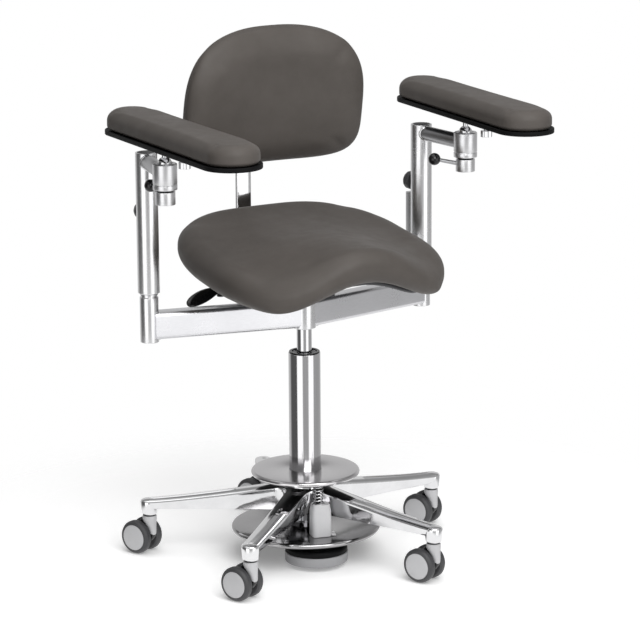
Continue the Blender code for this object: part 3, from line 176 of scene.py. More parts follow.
def loft(sections, count=20):
    # ring drawn through sections of x, y, z and two half widths
    bm = bmesh.new()
    bmesh.ops.create_circle(bm, segments=count, radius=1)
    ring = list(bm.edges)
    x, y, z, wide, deep = sections[0]
    bmesh.ops.scale(bm, verts=bm.verts, vec=(wide, deep, 1))
    bmesh.ops.translate(bm, verts=bm.verts, vec=(x, y, z))
    bm.faces.new(list(bm.verts))
    for x2, y2, z2, wide2, deep2 in sections[1:]:
        grown = bmesh.ops.extrude_edge_only(bm, edges=ring)["geom"]
        verts, ring = only(grown, BMVert), only(grown, BMEdge)
        about = Matrix.Translation((-x, -y, -z))
        bmesh.ops.scale(bm, verts=verts, vec=(wide2 / wide, deep2 / deep, 1), space=about)
        bmesh.ops.translate(bm, verts=verts, vec=(x2 - x, y2 - y, z2 - z))
        x, y, z, wide, deep = x2, y2, z2, wide2, deep2
    bmesh.ops.holes_fill(bm, edges=ring, sides=0)
    bmesh.ops.recalc_face_normals(bm, faces=bm.faces)
    return bm


def wireEnd(radius, wire, height, segments):
    # circle of a round wire, standing away from Z
    bm = bmesh.new()
    bmesh.ops.create_circle(bm, segments=segments, radius=wire)
    turnAbout(bm, "X")
    bmesh.ops.translate(bm, verts=bm.verts, vec=(radius, 0, height))
    return bm


def coil(radius, wire, low, high, turns, steps=24):
    # round wire wound about Z
    bm = wireEnd(radius, wire, low + wire, 12)
    climb = (high - low - 2 * wire) / (turns * steps)
    bmesh.ops.spin(
        bm, geom=bm.verts[:] + bm.edges[:], cent=(0, 0, 0), axis=(0, 0, 1), dvec=(0, 0, climb),
        angle=math.tau * turns, steps=turns * steps)
    bmesh.ops.holes_fill(bm, edges=[e for e in bm.edges if e.is_boundary], sides=0)
    bmesh.ops.recalc_face_normals(bm, faces=bm.faces)
    return bm


def flute(bm, radius, count, depth, wall=0.93):
    # shallow grip flutes round the outer wall
    for vert in bm.verts:
        if vert.co.xy.length > radius * wall:
            turn = headingOf(vert.co)
            vert.co.xy *= 1 - depth / radius * (0.5 + 0.5 * math.cos(count * turn))
    return bm


def put(bm, origin=(0, 0, 0), axis=None, turn=0):
    # turns about Z, points local Z along an axis, then moves
    spun = Matrix.Rotation(turn, 3, "Z")
    if axis is not None:
        spun = Vector((0, 0, 1)).rotation_difference(axis).to_matrix() @ spun
    bmesh.ops.rotate(bm, verts=bm.verts, cent=(0, 0, 0), matrix=spun)
    bmesh.ops.translate(bm, verts=bm.verts, vec=origin)
    return bm


def meshOf(name, bm):
    mesh = bpy.data.meshes.new(name)
    bm.to_mesh(mesh)
    bm.free()
    return mesh


def linked(name, data):
    item = bpy.data.objects.new(name, data)
    scene.collection.objects.link(item)
    return item


def gather(*shapes):
    # several closed shapes in one mesh
    bm = bmesh.new()
    for shape in shapes:
        mesh = meshOf("shape", shape)
        bm.from_mesh(mesh)
        bpy.data.meshes.remove(mesh)
    return bm


def subdivide(item, times):
    rounder = item.modifiers.new("rounder", "SUBSURF")
    rounder.levels = rounder.render_levels = times


def piece(name, bm, material, body, nodes=(), smooth=32, fine=0):
    mesh = meshOf(name, bm)
    mesh.materials.append(material)
    mesh.shade_smooth()
    mesh.set_sharp_from_angle(angle=math.radians(smooth))
    item = linked(name, mesh)
    if fine:
        subdivide(item, fine)
    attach(item, body)
    if nodes:
        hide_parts(*nodes)
    return item


# shared shader effects

def feed(tree, socket, value):
    # another node's output is linked, a plain value is set on the socket
    if isinstance(value, bpy.types.NodeSocket):
        tree.links.new(value, socket)
    else:
        socket.default_value = value


def node(tree, kind, settings=None, **values):
    # inputs go by name, or by place as i0, i1 and so on
    made = tree.nodes.new("ShaderNode" + kind)
    for key, value in (settings or {}).items():
        setattr(made, key, value)
    for key, value in values.items():
        place = int(key[1:]) if key[0] == "i" and key[1:].isdigit() else key
        feed(tree, made.inputs[place], value)
    return made


def calc(tree, operation, *values):
    places = {f"i{k}": value for k, value in enumerate(values)}
    return node(tree, "Math", {"operation": operation}, **places).outputs["Value"]


def spread(tree, value, start, end, low=0.0, high=1.0, shape="LINEAR"):
    made = node(tree, "MapRange", {"interpolation_type": shape}, i0=value, i1=start, i2=end, i3=low, i4=high)
    return made.outputs["Result"]


def ramp(tree, value, start, end, low=0.0, high=1.0):
    return spread(tree, value, start, end, low, high, "SMOOTHSTEP")


def blendValues(tree, mask, first, second):
    return node(tree, "Mix", {"data_type": "FLOAT"}, i0=mask, i2=first, i3=second).outputs[0]


def blendColours(tree, mask, first, second):
    return node(tree, "Mix", {"data_type": "RGBA"}, i0=mask, i6=first, i7=second).outputs[2]


def aboutColumn(tree, coords):
    return node(tree, "Mapping", Vector=coords, Location=(-column.x, -column.y, 0)).outputs["Vector"]


def newGroup(name, inputs, outputs):
    # every group reads a Vector, and its other inputs come with their defaults
    group = bpy.data.node_groups.new(name, "ShaderNodeTree")
    group.interface.new_socket("Vector", in_out="INPUT", socket_type="NodeSocketVector")
    for label, value in inputs.items():
        kind = "NodeSocketVector" if isinstance(value, tuple) else "NodeSocketFloat"
        group.interface.new_socket(label, in_out="INPUT", socket_type=kind).default_value = value
    for label in outputs:
        group.interface.new_socket(label, in_out="OUTPUT", socket_type="NodeSocketFloat")
    return group, group.nodes.new("NodeGroupInput").outputs, group.nodes.new("NodeGroupOutput").inputs


def mottleGroup():
    # slow cloudy change between two values
    group, given, gives = newGroup("mottle", {"Scale": 20.0, "Low": 0.0, "High": 1.0}, ["Value"])
    noise = node(group, "TexNoise", Vector=given["Vector"], Scale=given["Scale"], Detail=4.0, Roughness=0.6)
    feed(group, gives["Value"], spread(group, noise.outputs["Fac"], 0.3, 0.7, given["Low"], given["High"]))
    return group


def brushGroup():
    # fine lines along whichever axis the stretch leaves long
    group, given, gives = newGroup("brushLines", {"Stretch": (900.0, 900.0, 9.0)}, ["Height", "Lines"])
    scaled = node(group, "VectorMath", {"operation": "MULTIPLY"}, i0=given["Vector"], i1=given["Stretch"])
    noise = node(group, "TexNoise", Vector=scaled.outputs["Vector"], Scale=1.0, Detail=2.0, Roughness=0.5)
    feed(group, gives["Height"], noise.outputs["Fac"])
    feed(group, gives["Lines"], spread(group, noise.outputs["Fac"], 0.35, 0.65))
    return group


def grainGroup():
    # leather pebbles with finer pores between them
    group, given, gives = newGroup("leatherGrain", {"Pebbles": 700.0}, ["Height"])
    cells = node(
        group, "TexVoronoi", {"feature": "SMOOTH_F1"}, Vector=given["Vector"], Scale=given["Pebbles"],
        Smoothness=0.6, Randomness=1.0)
    pores = node(group, "TexNoise", Vector=given["Vector"], Scale=2600.0, Detail=2.0)
    pebbles = calc(group, "SUBTRACT", 1.0, cells.outputs["Distance"])
    feed(group, gives["Height"], calc(group, "MULTIPLY_ADD", pores.outputs["Fac"], 0.35, pebbles))
    return group


def wearAndGlintGroup():
    # convex edges made lighter, partly as rubbed wear and partly as a painted highlight, broken up by noise
    group, given, gives = newGroup("edgeWearAndGlint", {"Amount": 0.5}, ["Mask"])
    edge = spread(group, node(group, "NewGeometry").outputs["Pointiness"], 0.53, 0.62)
    noise = node(group, "TexNoise", Vector=given["Vector"], Scale=160.0, Detail=5.0)
    broken = calc(group, "MULTIPLY", edge, noise.outputs["Fac"])
    mask = node(group, "Math", {"operation": "MULTIPLY", "use_clamp": True}, i0=broken, i1=given["Amount"])
    feed(group, gives["Mask"], mask.outputs["Value"])
    return group


mottle = mottleGroup()
brushLines = brushGroup()
leatherGrain = grainGroup()
edgeWearAndGlint = wearAndGlintGroup()


def effect(tree, group, coords, **values):
    # places a shared group and gives its outputs
    made = tree.nodes.new("ShaderNodeGroup")
    made.node_tree = group
    feed(tree, made.inputs["Vector"], coords)
    for label, value in values.items():
        made.inputs[label].default_value = value
    return made.outputs


def clouds(tree, coords, scale, low=0.0, high=1.0):
    return effect(tree, mottle, coords, Scale=scale, Low=low, High=high)["Value"]


def startFinish(name, slot, metallic, specular=0.5):
    material = bpy.data.materials.new(name)
    material.use_nodes = True
    material["slot"] = slot
    tree = material.node_tree
    shader = tree.nodes["Principled BSDF"]
    shader.inputs["Metallic"].default_value = metallic
    shader.inputs["Specular IOR Level"].default_value = specular
    return material, tree, shader, node(tree, "TexCoord").outputs["Object"]


def dress(tree, shader, colour, rough, height, depth):
    bump = node(tree, "Bump", Strength=1.0, Distance=depth, Height=height)
    for label, value in (("Base Color", colour), ("Roughness", rough), ("Normal", bump.outputs["Normal"])):
        feed(tree, shader.inputs[label], value)


# finishes

def grey(tone, blue=0.01):
    # near neutral, with a little more blue
    return tone, tone, tone + blue, 1


def leatherette():
    look = {
        "dark": (0.086, 0.0765, 0.0690, 1), "light": (0.108, 0.0965, 0.0880, 1), "pebbles": 620.0,
        "depth": 0.00012, "sheen": (0.46, 0.56), "specular": 0.22,
    }
    material, tree, shader, coords = startFinish(
        "taupeLeatherette", "taupe_leatherette", 0.0, look["specular"])
    colour = blendColours(tree, clouds(tree, coords, 9.0), look["dark"], look["light"])
    grain = effect(tree, leatherGrain, coords, Pebbles=look["pebbles"])["Height"]
    dress(tree, shader, colour, clouds(tree, coords, 35.0, *look["sheen"]), grain, look["depth"])
    return material


def paintedUndersideShade(tree, colour, rough, tone):
    # painted shade: faces that look down are painted dark, as the shade under the discs and arms, and made
    # rougher as an unpolished underside
    facing = node(tree, "SeparateXYZ", i0=node(tree, "NewGeometry").outputs["Normal"])
    paintedUnderShade = ramp(tree, facing.outputs["Z"], -0.80, -0.95)
    return blendColours(tree, paintedUnderShade, colour, grey(tone, 0)), blendValues(tree, paintedUnderShade, rough, 0.5)


def polishedMetal(name, slot, dark, light, rough, paintedUnderShade=0.0):
    material, tree, shader, coords = startFinish(name, slot, 1.0)
    colour = blendColours(tree, clouds(tree, coords, 24.0), dark, light)
    polish = clouds(tree, coords, 60.0, *rough)
    # painted shade on the faces that look down, when a tone is given
    if paintedUnderShade:
        colour, polish = paintedUndersideShade(tree, colour, polish, paintedUnderShade)
    dress(tree, shader, colour, polish, clouds(tree, coords, 35.0), 0.00003)
    return material


def brushedMetal(name, stretch, dark, light, rough, depth):
    material, tree, shader, coords = startFinish(name, "satin_steel", 1.0)
    lines = effect(tree, brushLines, coords, Stretch=stretch)
    colour = blendColours(tree, lines["Lines"], dark, light)
    dress(tree, shader, colour, clouds(tree, coords, 18.0, *rough), lines["Height"], depth)
    return material


def turnedSheet(name, dark, light):
    # stainless sheet, spun, with faint rings about the column, and painted shade on the faces that look down
    material, tree, shader, coords = startFinish(name, "stainless_sheet", 1.0)
    rings = node(
        tree, "TexWave", {"wave_type": "RINGS", "rings_direction": "Z"}, Vector=aboutColumn(tree, coords),
        Scale=130.0, Distortion=1.5, Detail=2.0).outputs["Fac"]
    colour = blendColours(tree, rings, dark, light)
    colour, polish = paintedUndersideShade(tree, colour, clouds(tree, coords, 14.0, 0.15, 0.21), 0.03)
    dress(tree, shader, colour, polish, rings, 0.000006)
    return material


def moulded(name, slot, dark, light, rough, depth, wearAndGlint, wornAndGlintTone, specular=0.5):
    # plastic, rubber or lacquer with a moulded skin, and convex edges lighter as rubbed wear and as a painted
    # highlight
    material, tree, shader, coords = startFinish(name, slot, 0.0, specular)
    colour = blendColours(tree, clouds(tree, coords, 22.0), dark, light)
    # edges lightened as wear and as a painted highlight
    rubbedAndGlint = effect(tree, edgeWearAndGlint, coords, Amount=wearAndGlint)["Mask"]
    colour = blendColours(tree, rubbedAndGlint, colour, grey(*wornAndGlintTone))
    dress(tree, shader, colour, clouds(tree, coords, 45.0, *rough), clouds(tree, coords, 900.0), depth)
    return material


leather = leatherette()
# polished cast star, with painted shade on its faces that look down
castPolish = polishedMetal("polishedCast", "polished_aluminium", grey(0.74), grey(0.82), (0.05, 0.10), 0.06)
barPolish = polishedMetal("polishedBar", "polished_aluminium", grey(0.70), grey(0.78), (0.06, 0.10))
# painted shade: a dark copy of polished steel, for the brake guide in the shade under the discs
shadedPolish = polishedMetal("shadedPolish", "satin_steel", grey(0.20), grey(0.24), (0.06, 0.10))
rodPolish = polishedMetal("polishedRod", "polished_aluminium", grey(0.62), grey(0.68), (0.08, 0.12))
tubeSteel = brushedMetal("satinTube", (700.0, 700.0, 12.0), grey(0.74), grey(0.79), (0.24, 0.28), 0.000004)
# painted shade: a darker copy of the satin steel, for the cross tubes and clamp levers
shadedCrossSteel = brushedMetal("shadedSatinCross", (60.0, 60.0, 700.0), grey(0.40), grey(0.45), (0.28, 0.34), 0.000004)
columnSteel = brushedMetal(
    "polishedColumn", (500.0, 500.0, 8.0), (0.62, 0.61, 0.62, 1), grey(0.66), (0.09, 0.12), 0.000003)
beamSteel = brushedMetal(
    "satinBeam", (12.0, 500.0, 700.0), grey(0.68, 0.02), grey(0.71, 0.02), (0.26, 0.30), 0.000001)
turnedSteel = brushedMetal(
    "turnedSteel", (12.0, 12.0, 1500.0), grey(0.68), grey(0.75), (0.30, 0.35), 0.000006)
heightSheet = turnedSheet("heightSheet", (0.55, 0.54, 0.55, 1), (0.60, 0.59, 0.60, 1))
# painted shade: a darker copy of the spun sheet for the lower disc, which lies in the shade of the arms
shadedBrakeSheet = turnedSheet("shadedBrakeSheet", (0.34, 0.335, 0.34, 1), (0.38, 0.375, 0.38, 1))
castGrey = moulded("greyCast", "grey_cast", grey(0.53), grey(0.59), (0.34, 0.44), 0.00006, 0.5, (0.75, 0))
blackGloss = moulded(
    "blackGloss", "black_plastic", grey(0.006, 0.001), grey(0.009, 0.001), (0.10, 0.17), 0.00002, 0.3,
    (0.04, 0), specular=0.42)
blackMatt = moulded(
    "blackMatt", "black_plastic", grey(0.004, 0.0005), grey(0.006, 0.0005), (0.46, 0.56), 0.00005, 0.2,
    (0.02, 0), specular=0.09)
darkMatt = moulded(
    "darkMatt", "dark_plastic", grey(0.042, 0.004), grey(0.058, 0.005), (0.42, 0.54), 0.00008, 0.3,
    (0.12, 0.01))
lightGrey = moulded(
    "lightGrey", "light_grey_plastic", grey(0.47), grey(0.52), (0.34, 0.42), 0.00004, 0.3, (0.6, 0))
tyreGrey = moulded(
    "tyreGrey", "grey_tyre", grey(0.036, 0.003), grey(0.049, 0.003), (0.46, 0.58), 0.00010, 0.4, (0.12, 0))
shoeRubber = moulded(
    "shoeRubber", "grey_rubber", grey(0.29), grey(0.33), (0.50, 0.62), 0.00014, 0.4, (0.36, 0))
print("finishes ready")


# casters

caster = {
    "count": 5, "tyreWidth": 0.0175, "wellRadius": 0.0205, "wellDepth": 0.0030, "discRadius": 0.0248,
    "discGap": 0.0003, "discSink": 0.0012, "boreRadius": 0.0045, "boreDepth": 0.012, "neckRadius": 0.0137,
    "neckTop": 0.0750, "ringRadius": 0.0118, "ringTop": 0.0773, "stemRadius": 0.0052, "stemTop": 0.0968,
    "hoodWidth": 0.0130, "axleRadius": 0.0038, "axleGap": 0.0005,
    "tongue": (  # x, height and the two half widths, from the neck down
        (-0.0006, 0.0645, 0.0128, 0.0132), (-0.0028, 0.0585, 0.0105, 0.0112),
        (-0.0055, 0.0510, 0.0082, 0.0084), (-0.0072, 0.0440, 0.0066, 0.0076),
        (-0.0080, 0.0385, 0.0056, 0.0066), (-0.0082, 0.0368, 0.0040, 0.0050),
    ),
}


def tyre(radius):
    wide, disc, bore = caster["tyreWidth"], caster["discRadius"], caster["boreRadius"]
    well, recess, sink = caster["wellRadius"], caster["wellDepth"], wide - caster["discSink"]
    bm = lathe([
        (0, caster["boreDepth"]), (bore, caster["boreDepth"]), (bore, recess), (well - 0.0015, recess),
        (well, 0), (radius - 0.0032, 0), (radius, 0.0034), (radius, wide - 0.0058),
        (radius - 0.0022, wide - 0.0018), (radius - 0.0050, wide), (disc + 0.0004, wide), (disc, sink),
        (0, sink),
    ], 80)
    return soften(bm, 0.0011, 18)


def hubDisc():
    wide, disc = caster["tyreWidth"], caster["discRadius"] - caster["discGap"]
    seat = wide - caster["discSink"] + 0.0001
    bm = lathe([
        (0, wide + 0.0001), (disc - 0.0035, wide), (disc, wide - 0.0003), (disc, seat), (0, seat),
    ], 80)
    return soften(bm, 0.0003, 30, 2)


def forkShield():
    # neck that narrows to a tongue between the wheels, on the leading side
    neck, top = caster["neckRadius"], caster["neckTop"]
    rings = [(0, top, neck * 0.93, neck * 0.93), (0, top - 0.0006, neck, neck), (0, top - 0.0080, neck, neck)]
    return loft([(x, 0, z, wide, deep) for x, z, wide, deep in (*rings, *caster["tongue"])], 28)


def forkHood(axle):
    # dark bridge from the neck down to the axle, seen between the wheels
    outline = [
        (-0.0060, 0.0690), (-0.0100, 0.0590), (-0.0110, 0.0340), (-0.0065, 0.0250),
        (axle.x, axle.z - 0.0090), (axle.x + 0.0105, axle.z), (axle.x + 0.0090, axle.z + 0.0220),
        (axle.x - 0.0060, 0.0672), (0.0080, 0.0700),
    ]
    half = caster["hoodWidth"] / 2
    return turnAbout(soften(slab(outline, -half, half), 0.0022), "X")


def buildCasters():
    stemRadius, stemTop = caster["stemRadius"], caster["stemTop"]
    ringRadius, ringTop, ringLow = caster["ringRadius"], caster["ringTop"], caster["neckTop"] - 0.0004
    for k in range(1, caster["count"] + 1):
        pivot = anchor(f"caster_swivel_{k}")
        hubs = {side: anchor(f"wheel_spin_{k}_{side}") for side in sides}
        between = (hubs["right"] + hubs["left"]) / 2
        trail = between - pivot
        heading = headingOf(trail)
        axle = Vector((trail.xy.length, 0, between.z))
        body = f"fork_{k}"
        piece(f"shield_{k}", put(forkShield(), pivot, turn=heading), lightGrey, body, [body], fine=2)
        piece(f"hood_{k}", put(forkHood(axle), pivot, turn=heading), blackGloss, body)
        stem = lathe([
            (0, stemTop), (stemRadius, stemTop), (stemRadius, ringTop), (ringRadius, ringTop),
            (ringRadius, ringLow), (0, ringLow),
        ], 40)
        piece(f"neck_ring_{k}", put(soften(stem, 0.0004), pivot), blackGloss, body)
        reach = (hubs["right"] - hubs["left"]).length / 2 + caster["boreDepth"] - caster["axleGap"]
        pin = soften(plainRod(caster["axleRadius"], -reach, reach, 24), 0.0004)
        piece(f"axle_{k}", put(pin, between, axisOf(f"wheel_spin_{k}_left")), turnedSteel, body)
        for side in sides:
            wheel, out = f"wheel_{k}_{side}", axisOf(f"wheel_spin_{k}_{side}")
            piece(f"tyre_{k}_{side}", put(tyre(between.z), hubs[side], out), tyreGrey, wheel, [wheel])
            piece(f"hub_disc_{k}_{side}", put(hubDisc(), hubs[side], out), lightGrey, wheel)
    print("casters built")


# star base

star = {
    "hubRadius": 0.0430, "hubHole": 0.0305, "hubHalf": 0.0205, "tipHalf": 0.0168, "crotch": 0.022, "arms": 5,
    "tipHeight": 0.0180, "hubShare": 0.95, "fall": 1.25, "cornerDrop": 0.0054, "grooveStart": 0.132,
    "grooveRun": 0.020, "grooveHalf": 0.0034, "grooveWall": 0.0012, "grooveDepth": 0.0013, "bossFoot": 0.0146,
    "bossBore": 0.0075, "boreDepth": 0.0215, "hubRise": 0.012, "pegAt": 0.145,
    "pegProfile": ((0, 0.0012), (0.0026, 0.0012), (0.0022, -0.0016), (0, -0.0020)),
}


def armHalf(x, end):
    # half width of an arm: straight taper, with a round crotch between neighbours at the hub
    wedge, crotch = math.pi / star["arms"], star["crotch"]
    middleY = star["hubHalf"] + crotch
    middleX = middleY / math.tan(wedge)
    if x > middleX:
        return star["hubHalf"] + (star["tipHalf"] - star["hubHalf"]) * (x - middleX) / (end - middleX)
    if x < middleX - crotch * math.cos(wedge):
        return x * math.tan(wedge)
    return middleY - math.sqrt(crotch ** 2 - (x - middleX) ** 2)


def armSection(half, high, groove):
    # outline across an arm, foot to crown, with the groove between its lips; groove runs 0 to 1
    lip = star["grooveHalf"] * groove
    flank = [(0.72, 0.0), (0.76, 0.05), (0.88, 0.45), (0.97, 0.85), (1.0, 1.0)]
    edge = [(0.0003, 0.0040), (0.0010, 0.0029), (0.0024, 0.0020)]  # inwards and down from the corner
    points = [(half * y, (high - star["cornerDrop"]) * z) for y, z in flank]
    points += [(half - y, high - z) for y, z in edge]
    floor = high - star["grooveDepth"] * min(1, groove * 1.5)
    points += [(lip + star["grooveWall"], high), (lip + 0.0002, floor), (lip * 0.5 + 0.0001, floor)]
    return points + [(-y, z) for y, z in reversed(points)]


def starArm(reach, low, tall):
    # one arm along X, drawn outwards from the hub
    start, groove, run = star["hubHole"] + 0.002, star["grooveStart"], star["grooveRun"]
    places = [start + 0.003 * k for k in range(10)]
    for end, steps in ((groove, 10), (groove + run, 6), (reach, 14)):
        last = places[-1]
        places += [last + (end - last) * k / steps for k in range(1, steps + 1)]
    bm = bmesh.new()
    tip = None
    for x in places:
        share = (x - start) / (reach - start)
        high = star["tipHeight"] + (tall * star["hubShare"] - star["tipHeight"]) * (1 - share) ** star["fall"]
        near = max(0, min(1, (x - groove) / run))
        outline = armSection(armHalf(x, reach), high, math.sqrt(1 - (1 - near) ** 2))
        if tip is None:
            tip = bm.faces.new([bm.verts.new((x, y, low + z)) for y, z in outline])
            continue
        tip = only(bmesh.ops.extrude_face_region(bm, geom=[tip])["geom"], BMFace)[0]
        for vert, (y, z) in zip(tip.verts, outline):
            vert.co = (x, y, low + z)
    bmesh.ops.recalc_face_normals(bm, faces=bm.faces)
    return bm


def tipBoss(low):
    # round end of an arm over the caster stem, narrowing to its foot
    radius, narrow, bore = star["tipHalf"], star["bossFoot"], star["bossBore"]
    top, roof = low + star["hubRise"] + star["tipHeight"] + 0.0001, low + star["boreDepth"]
    return lathe([
        (0, top), (radius * 0.50, top - 0.0008), (radius * 0.80, top - 0.0019),
        (radius * 0.90, top - 0.0027), (radius * 0.96, top - 0.0038), (radius, top - 0.0056),
        (radius, top - 0.0080), (narrow + 0.0006, low + 0.0022), (narrow, low + 0.0008),
        (narrow - 0.0008, low), (bore, low), (bore, roof), (0, roof),
    ], 64)


def buildStar():
    low, high = levels("star_base")
    first = anchor("caster_swivel_1") - column
    reach, heading = first.xy.length, headingOf(first)
    hubLow = low + star["hubRise"]
    hub = soften(plainRing(star["hubRadius"], star["hubHole"], hubLow, high, 96), 0.0015)
    limb = gather(starArm(reach, hubLow, high - hubLow), put(tipBoss(low), (reach, 0, 0)))
    bmesh.ops.spin(
        limb, geom=limb.verts[:] + limb.edges[:] + limb.faces[:], cent=(0, 0, 0), axis=(0, 0, 1),
        angle=math.tau * (1 - 1 / star["arms"]), steps=star["arms"] - 1, use_duplicate=True)
    whole = put(gather(hub, limb), column, turn=heading)
    piece("star_casting", whole, castPolish, "base", ["star_base"], smooth=38)
    pegs = []
    for k in range(star["arms"]):
        way = heading + math.tau * k / star["arms"]
        peg = soften(lathe(star["pegProfile"], 24), 0.0003)
        out = Vector((math.cos(way), math.sin(way), 0)) * star["pegAt"]
        pegs.append(put(peg, column + out + Vector((0, 0, hubLow))))
    piece("arm_pegs", gather(*pegs), castPolish, "base")
    print("star built")


# column, foot discs and brake

foot = {
    "columnRadius": 0.030, "columnBore": 0.0265, "cylinderRadius": 0.014, "ribs": 12,
    "ribSize": (0.0072, 0.0021, 0.0034), "upperRadius": 0.1027, "lowerRadius": 0.141, "fit": 0.0005,
    "sheet": 0.004, "hem": 0.0095, "collarDrop": 0.0125, "collarWall": 0.006, "sleeveRadius": 0.029,
    "sleeveWall": 0.005, "skirtRadius": 0.040, "skirtStep": 0.0120, "skirtFoot": 0.0025, "lipShare": 1.06,
    "lipHeight": 0.0030, "waistShare": 0.96, "rodRadius": 0.0040, "rodHead": 0.0068, "headThick": 0.0025,
    "springRadius": 0.0088, "springWire": 0.0012, "springTurns": 6, "seatOuter": 0.0122,
    "seatInner": 0.0052,
}
footBlock = {
    "width": 0.038, "depth": 0.034, "shift": 0.004, "corner": 0.009, "crownX": 0.80, "crownY": 0.86,
    "shoulderDrop": 0.012, "shoulderFill": 0.0384, "tabSize": (0.020, 0.008, 0.003),
    "tabAt": (0.004, 0.0265), "boltAt": (0.004, 0.0270), "boltRadius": 0.0032,
}
shoe = {
    "bracketDepth": 0.026, "bracketWidth": 0.032, "plateRadius": 0.0585, "radius": 0.0595,
    "grooveOuter": 0.050, "grooveInner": 0.040, "groove": 0.003,
}


def footDisc(radius, bore, top):
    # spun sheet with a rolled rim and a guide collar
    roll, under, collar = foot["hem"] / 2, top - foot["sheet"], bore + foot["collarWall"]
    rim = [(radius - roll + out, z) for out, z in arc(roll, top - roll, 0, math.pi, 12)]
    bm = lathe([
        (bore, top), *rim, (radius - roll * 1.3, top - foot["hem"] + 0.0012), (radius - roll * 1.4, under),
        (collar, under), (collar, top - foot["collarDrop"]), (bore, top - foot["collarDrop"]),
    ], 144)
    return soften(bm, 0.0005, 40, 2)


def buildColumn():
    radius, bore, lift = foot["columnRadius"], foot["columnBore"], foot["cylinderRadius"]
    low, high = levels("column_tube")
    tube = soften(plainRing(radius, bore, low, high, 120), 0.0008)
    piece("column_sleeve", put(tube, column), columnSteel, "base", ["column_tube"])
    low, high = levels("column_collar")
    lip, outer, inner = radius - 0.0012, bore - 0.0003, lift + 0.0006
    collar = lathe([
        (lip, high), (lip, high - 0.0021), (outer, high - 0.0024), (outer, low), (inner, low),
        (inner, high - 0.0030), (lift + 0.0034, high - 0.0026), (lift + 0.0040, high - 0.0050),
        (outer - 0.0030, high - 0.0050), (outer - 0.0026, high),
    ], 96)
    piece("guide_collar", put(soften(collar, 0.0005), column), blackGloss, "base", ["column_collar"])
    bars = []
    for k in range(foot["ribs"]):
        bar = soften(block(foot["ribSize"], ((lift + outer) / 2 + 0.0004, 0, high - 0.0036)), 0.0004)
        bars.append(put(bar, turn=math.tau * k / foot["ribs"]))
    piece("collar_ribs", put(gather(*bars), column), lightGrey, "base")
    low, high = levels("gas_cylinder")
    cylinder = soften(plainRod(lift, low, high, 96), 0.0015)
    piece("lift_rod", put(cylinder, column), rodPolish, "lift", ["gas_cylinder"])
    print("column built")


def buildDiscs():
    disc = footDisc(foot["upperRadius"], foot["columnRadius"] + foot["fit"], levels("upper_disc")[1])
    piece("height_disc", put(disc, column), heightSheet, "height_pedal", ["upper_disc"])
    top = levels("lower_disc")[1]
    disc = footDisc(foot["lowerRadius"], foot["sleeveRadius"] + foot["fit"], top)
    piece("brake_disc", put(disc, column), shadedBrakeSheet, "brake_pedal", ["lower_disc"])
    low, high = levels("brake_sleeve")
    skirt, sleeve = foot["skirtRadius"], foot["sleeveRadius"]
    inner = sleeve - foot["sleeveWall"]
    lip, waist = skirt * foot["lipShare"], skirt * foot["waistShare"]
    step, ledge = top + foot["skirtStep"], top + foot["skirtFoot"]
    lipTop = step + foot["lipHeight"]
    guide = lathe([
        (skirt, high), (skirt, lipTop), (lip, lipTop), (lip, step), (waist, step), (waist, ledge),
        (sleeve, ledge), (sleeve, low), (inner, low), (inner, high),
    ], 96)
    piece("brake_guide", put(soften(guide, 0.0007), column), shadedPolish, "base", ["brake_sleeve"])
    print("foot discs built")


def releaseBlock(low, high):
    # upright block with round corners, drawn in above a full shoulder
    shift, crownX, crownY = footBlock["shift"], footBlock["crownX"], footBlock["crownY"]
    bm = block((footBlock["depth"], footBlock["width"], high - low), (0, shift, (low + high) / 2))
    roundEdges(bm, edgesAlong(bm, 2), footBlock["corner"], 5)
    crown = [v for v in bm.verts if v.co.z > high - 0.001]
    bmesh.ops.scale(bm, verts=crown, vec=(crownX, crownY, 1), space=Matrix.Translation((0, -shift, 0)))
    cut = bmesh.ops.bisect_plane(
        bm, geom=bm.verts[:] + bm.edges[:] + bm.faces[:], plane_co=(0, 0, high - footBlock["shoulderDrop"]),
        plane_no=(0, 0, 1))
    fuller = footBlock["shoulderFill"] / (high - low)
    for vert in only(cut["geom_cut"], BMVert):
        vert.co.x *= 1 + (1 - crownX) * fuller
        vert.co.y = shift + (vert.co.y - shift) * (1 + (1 - crownY) * fuller)
    return soften(bm, 0.0016, 24)


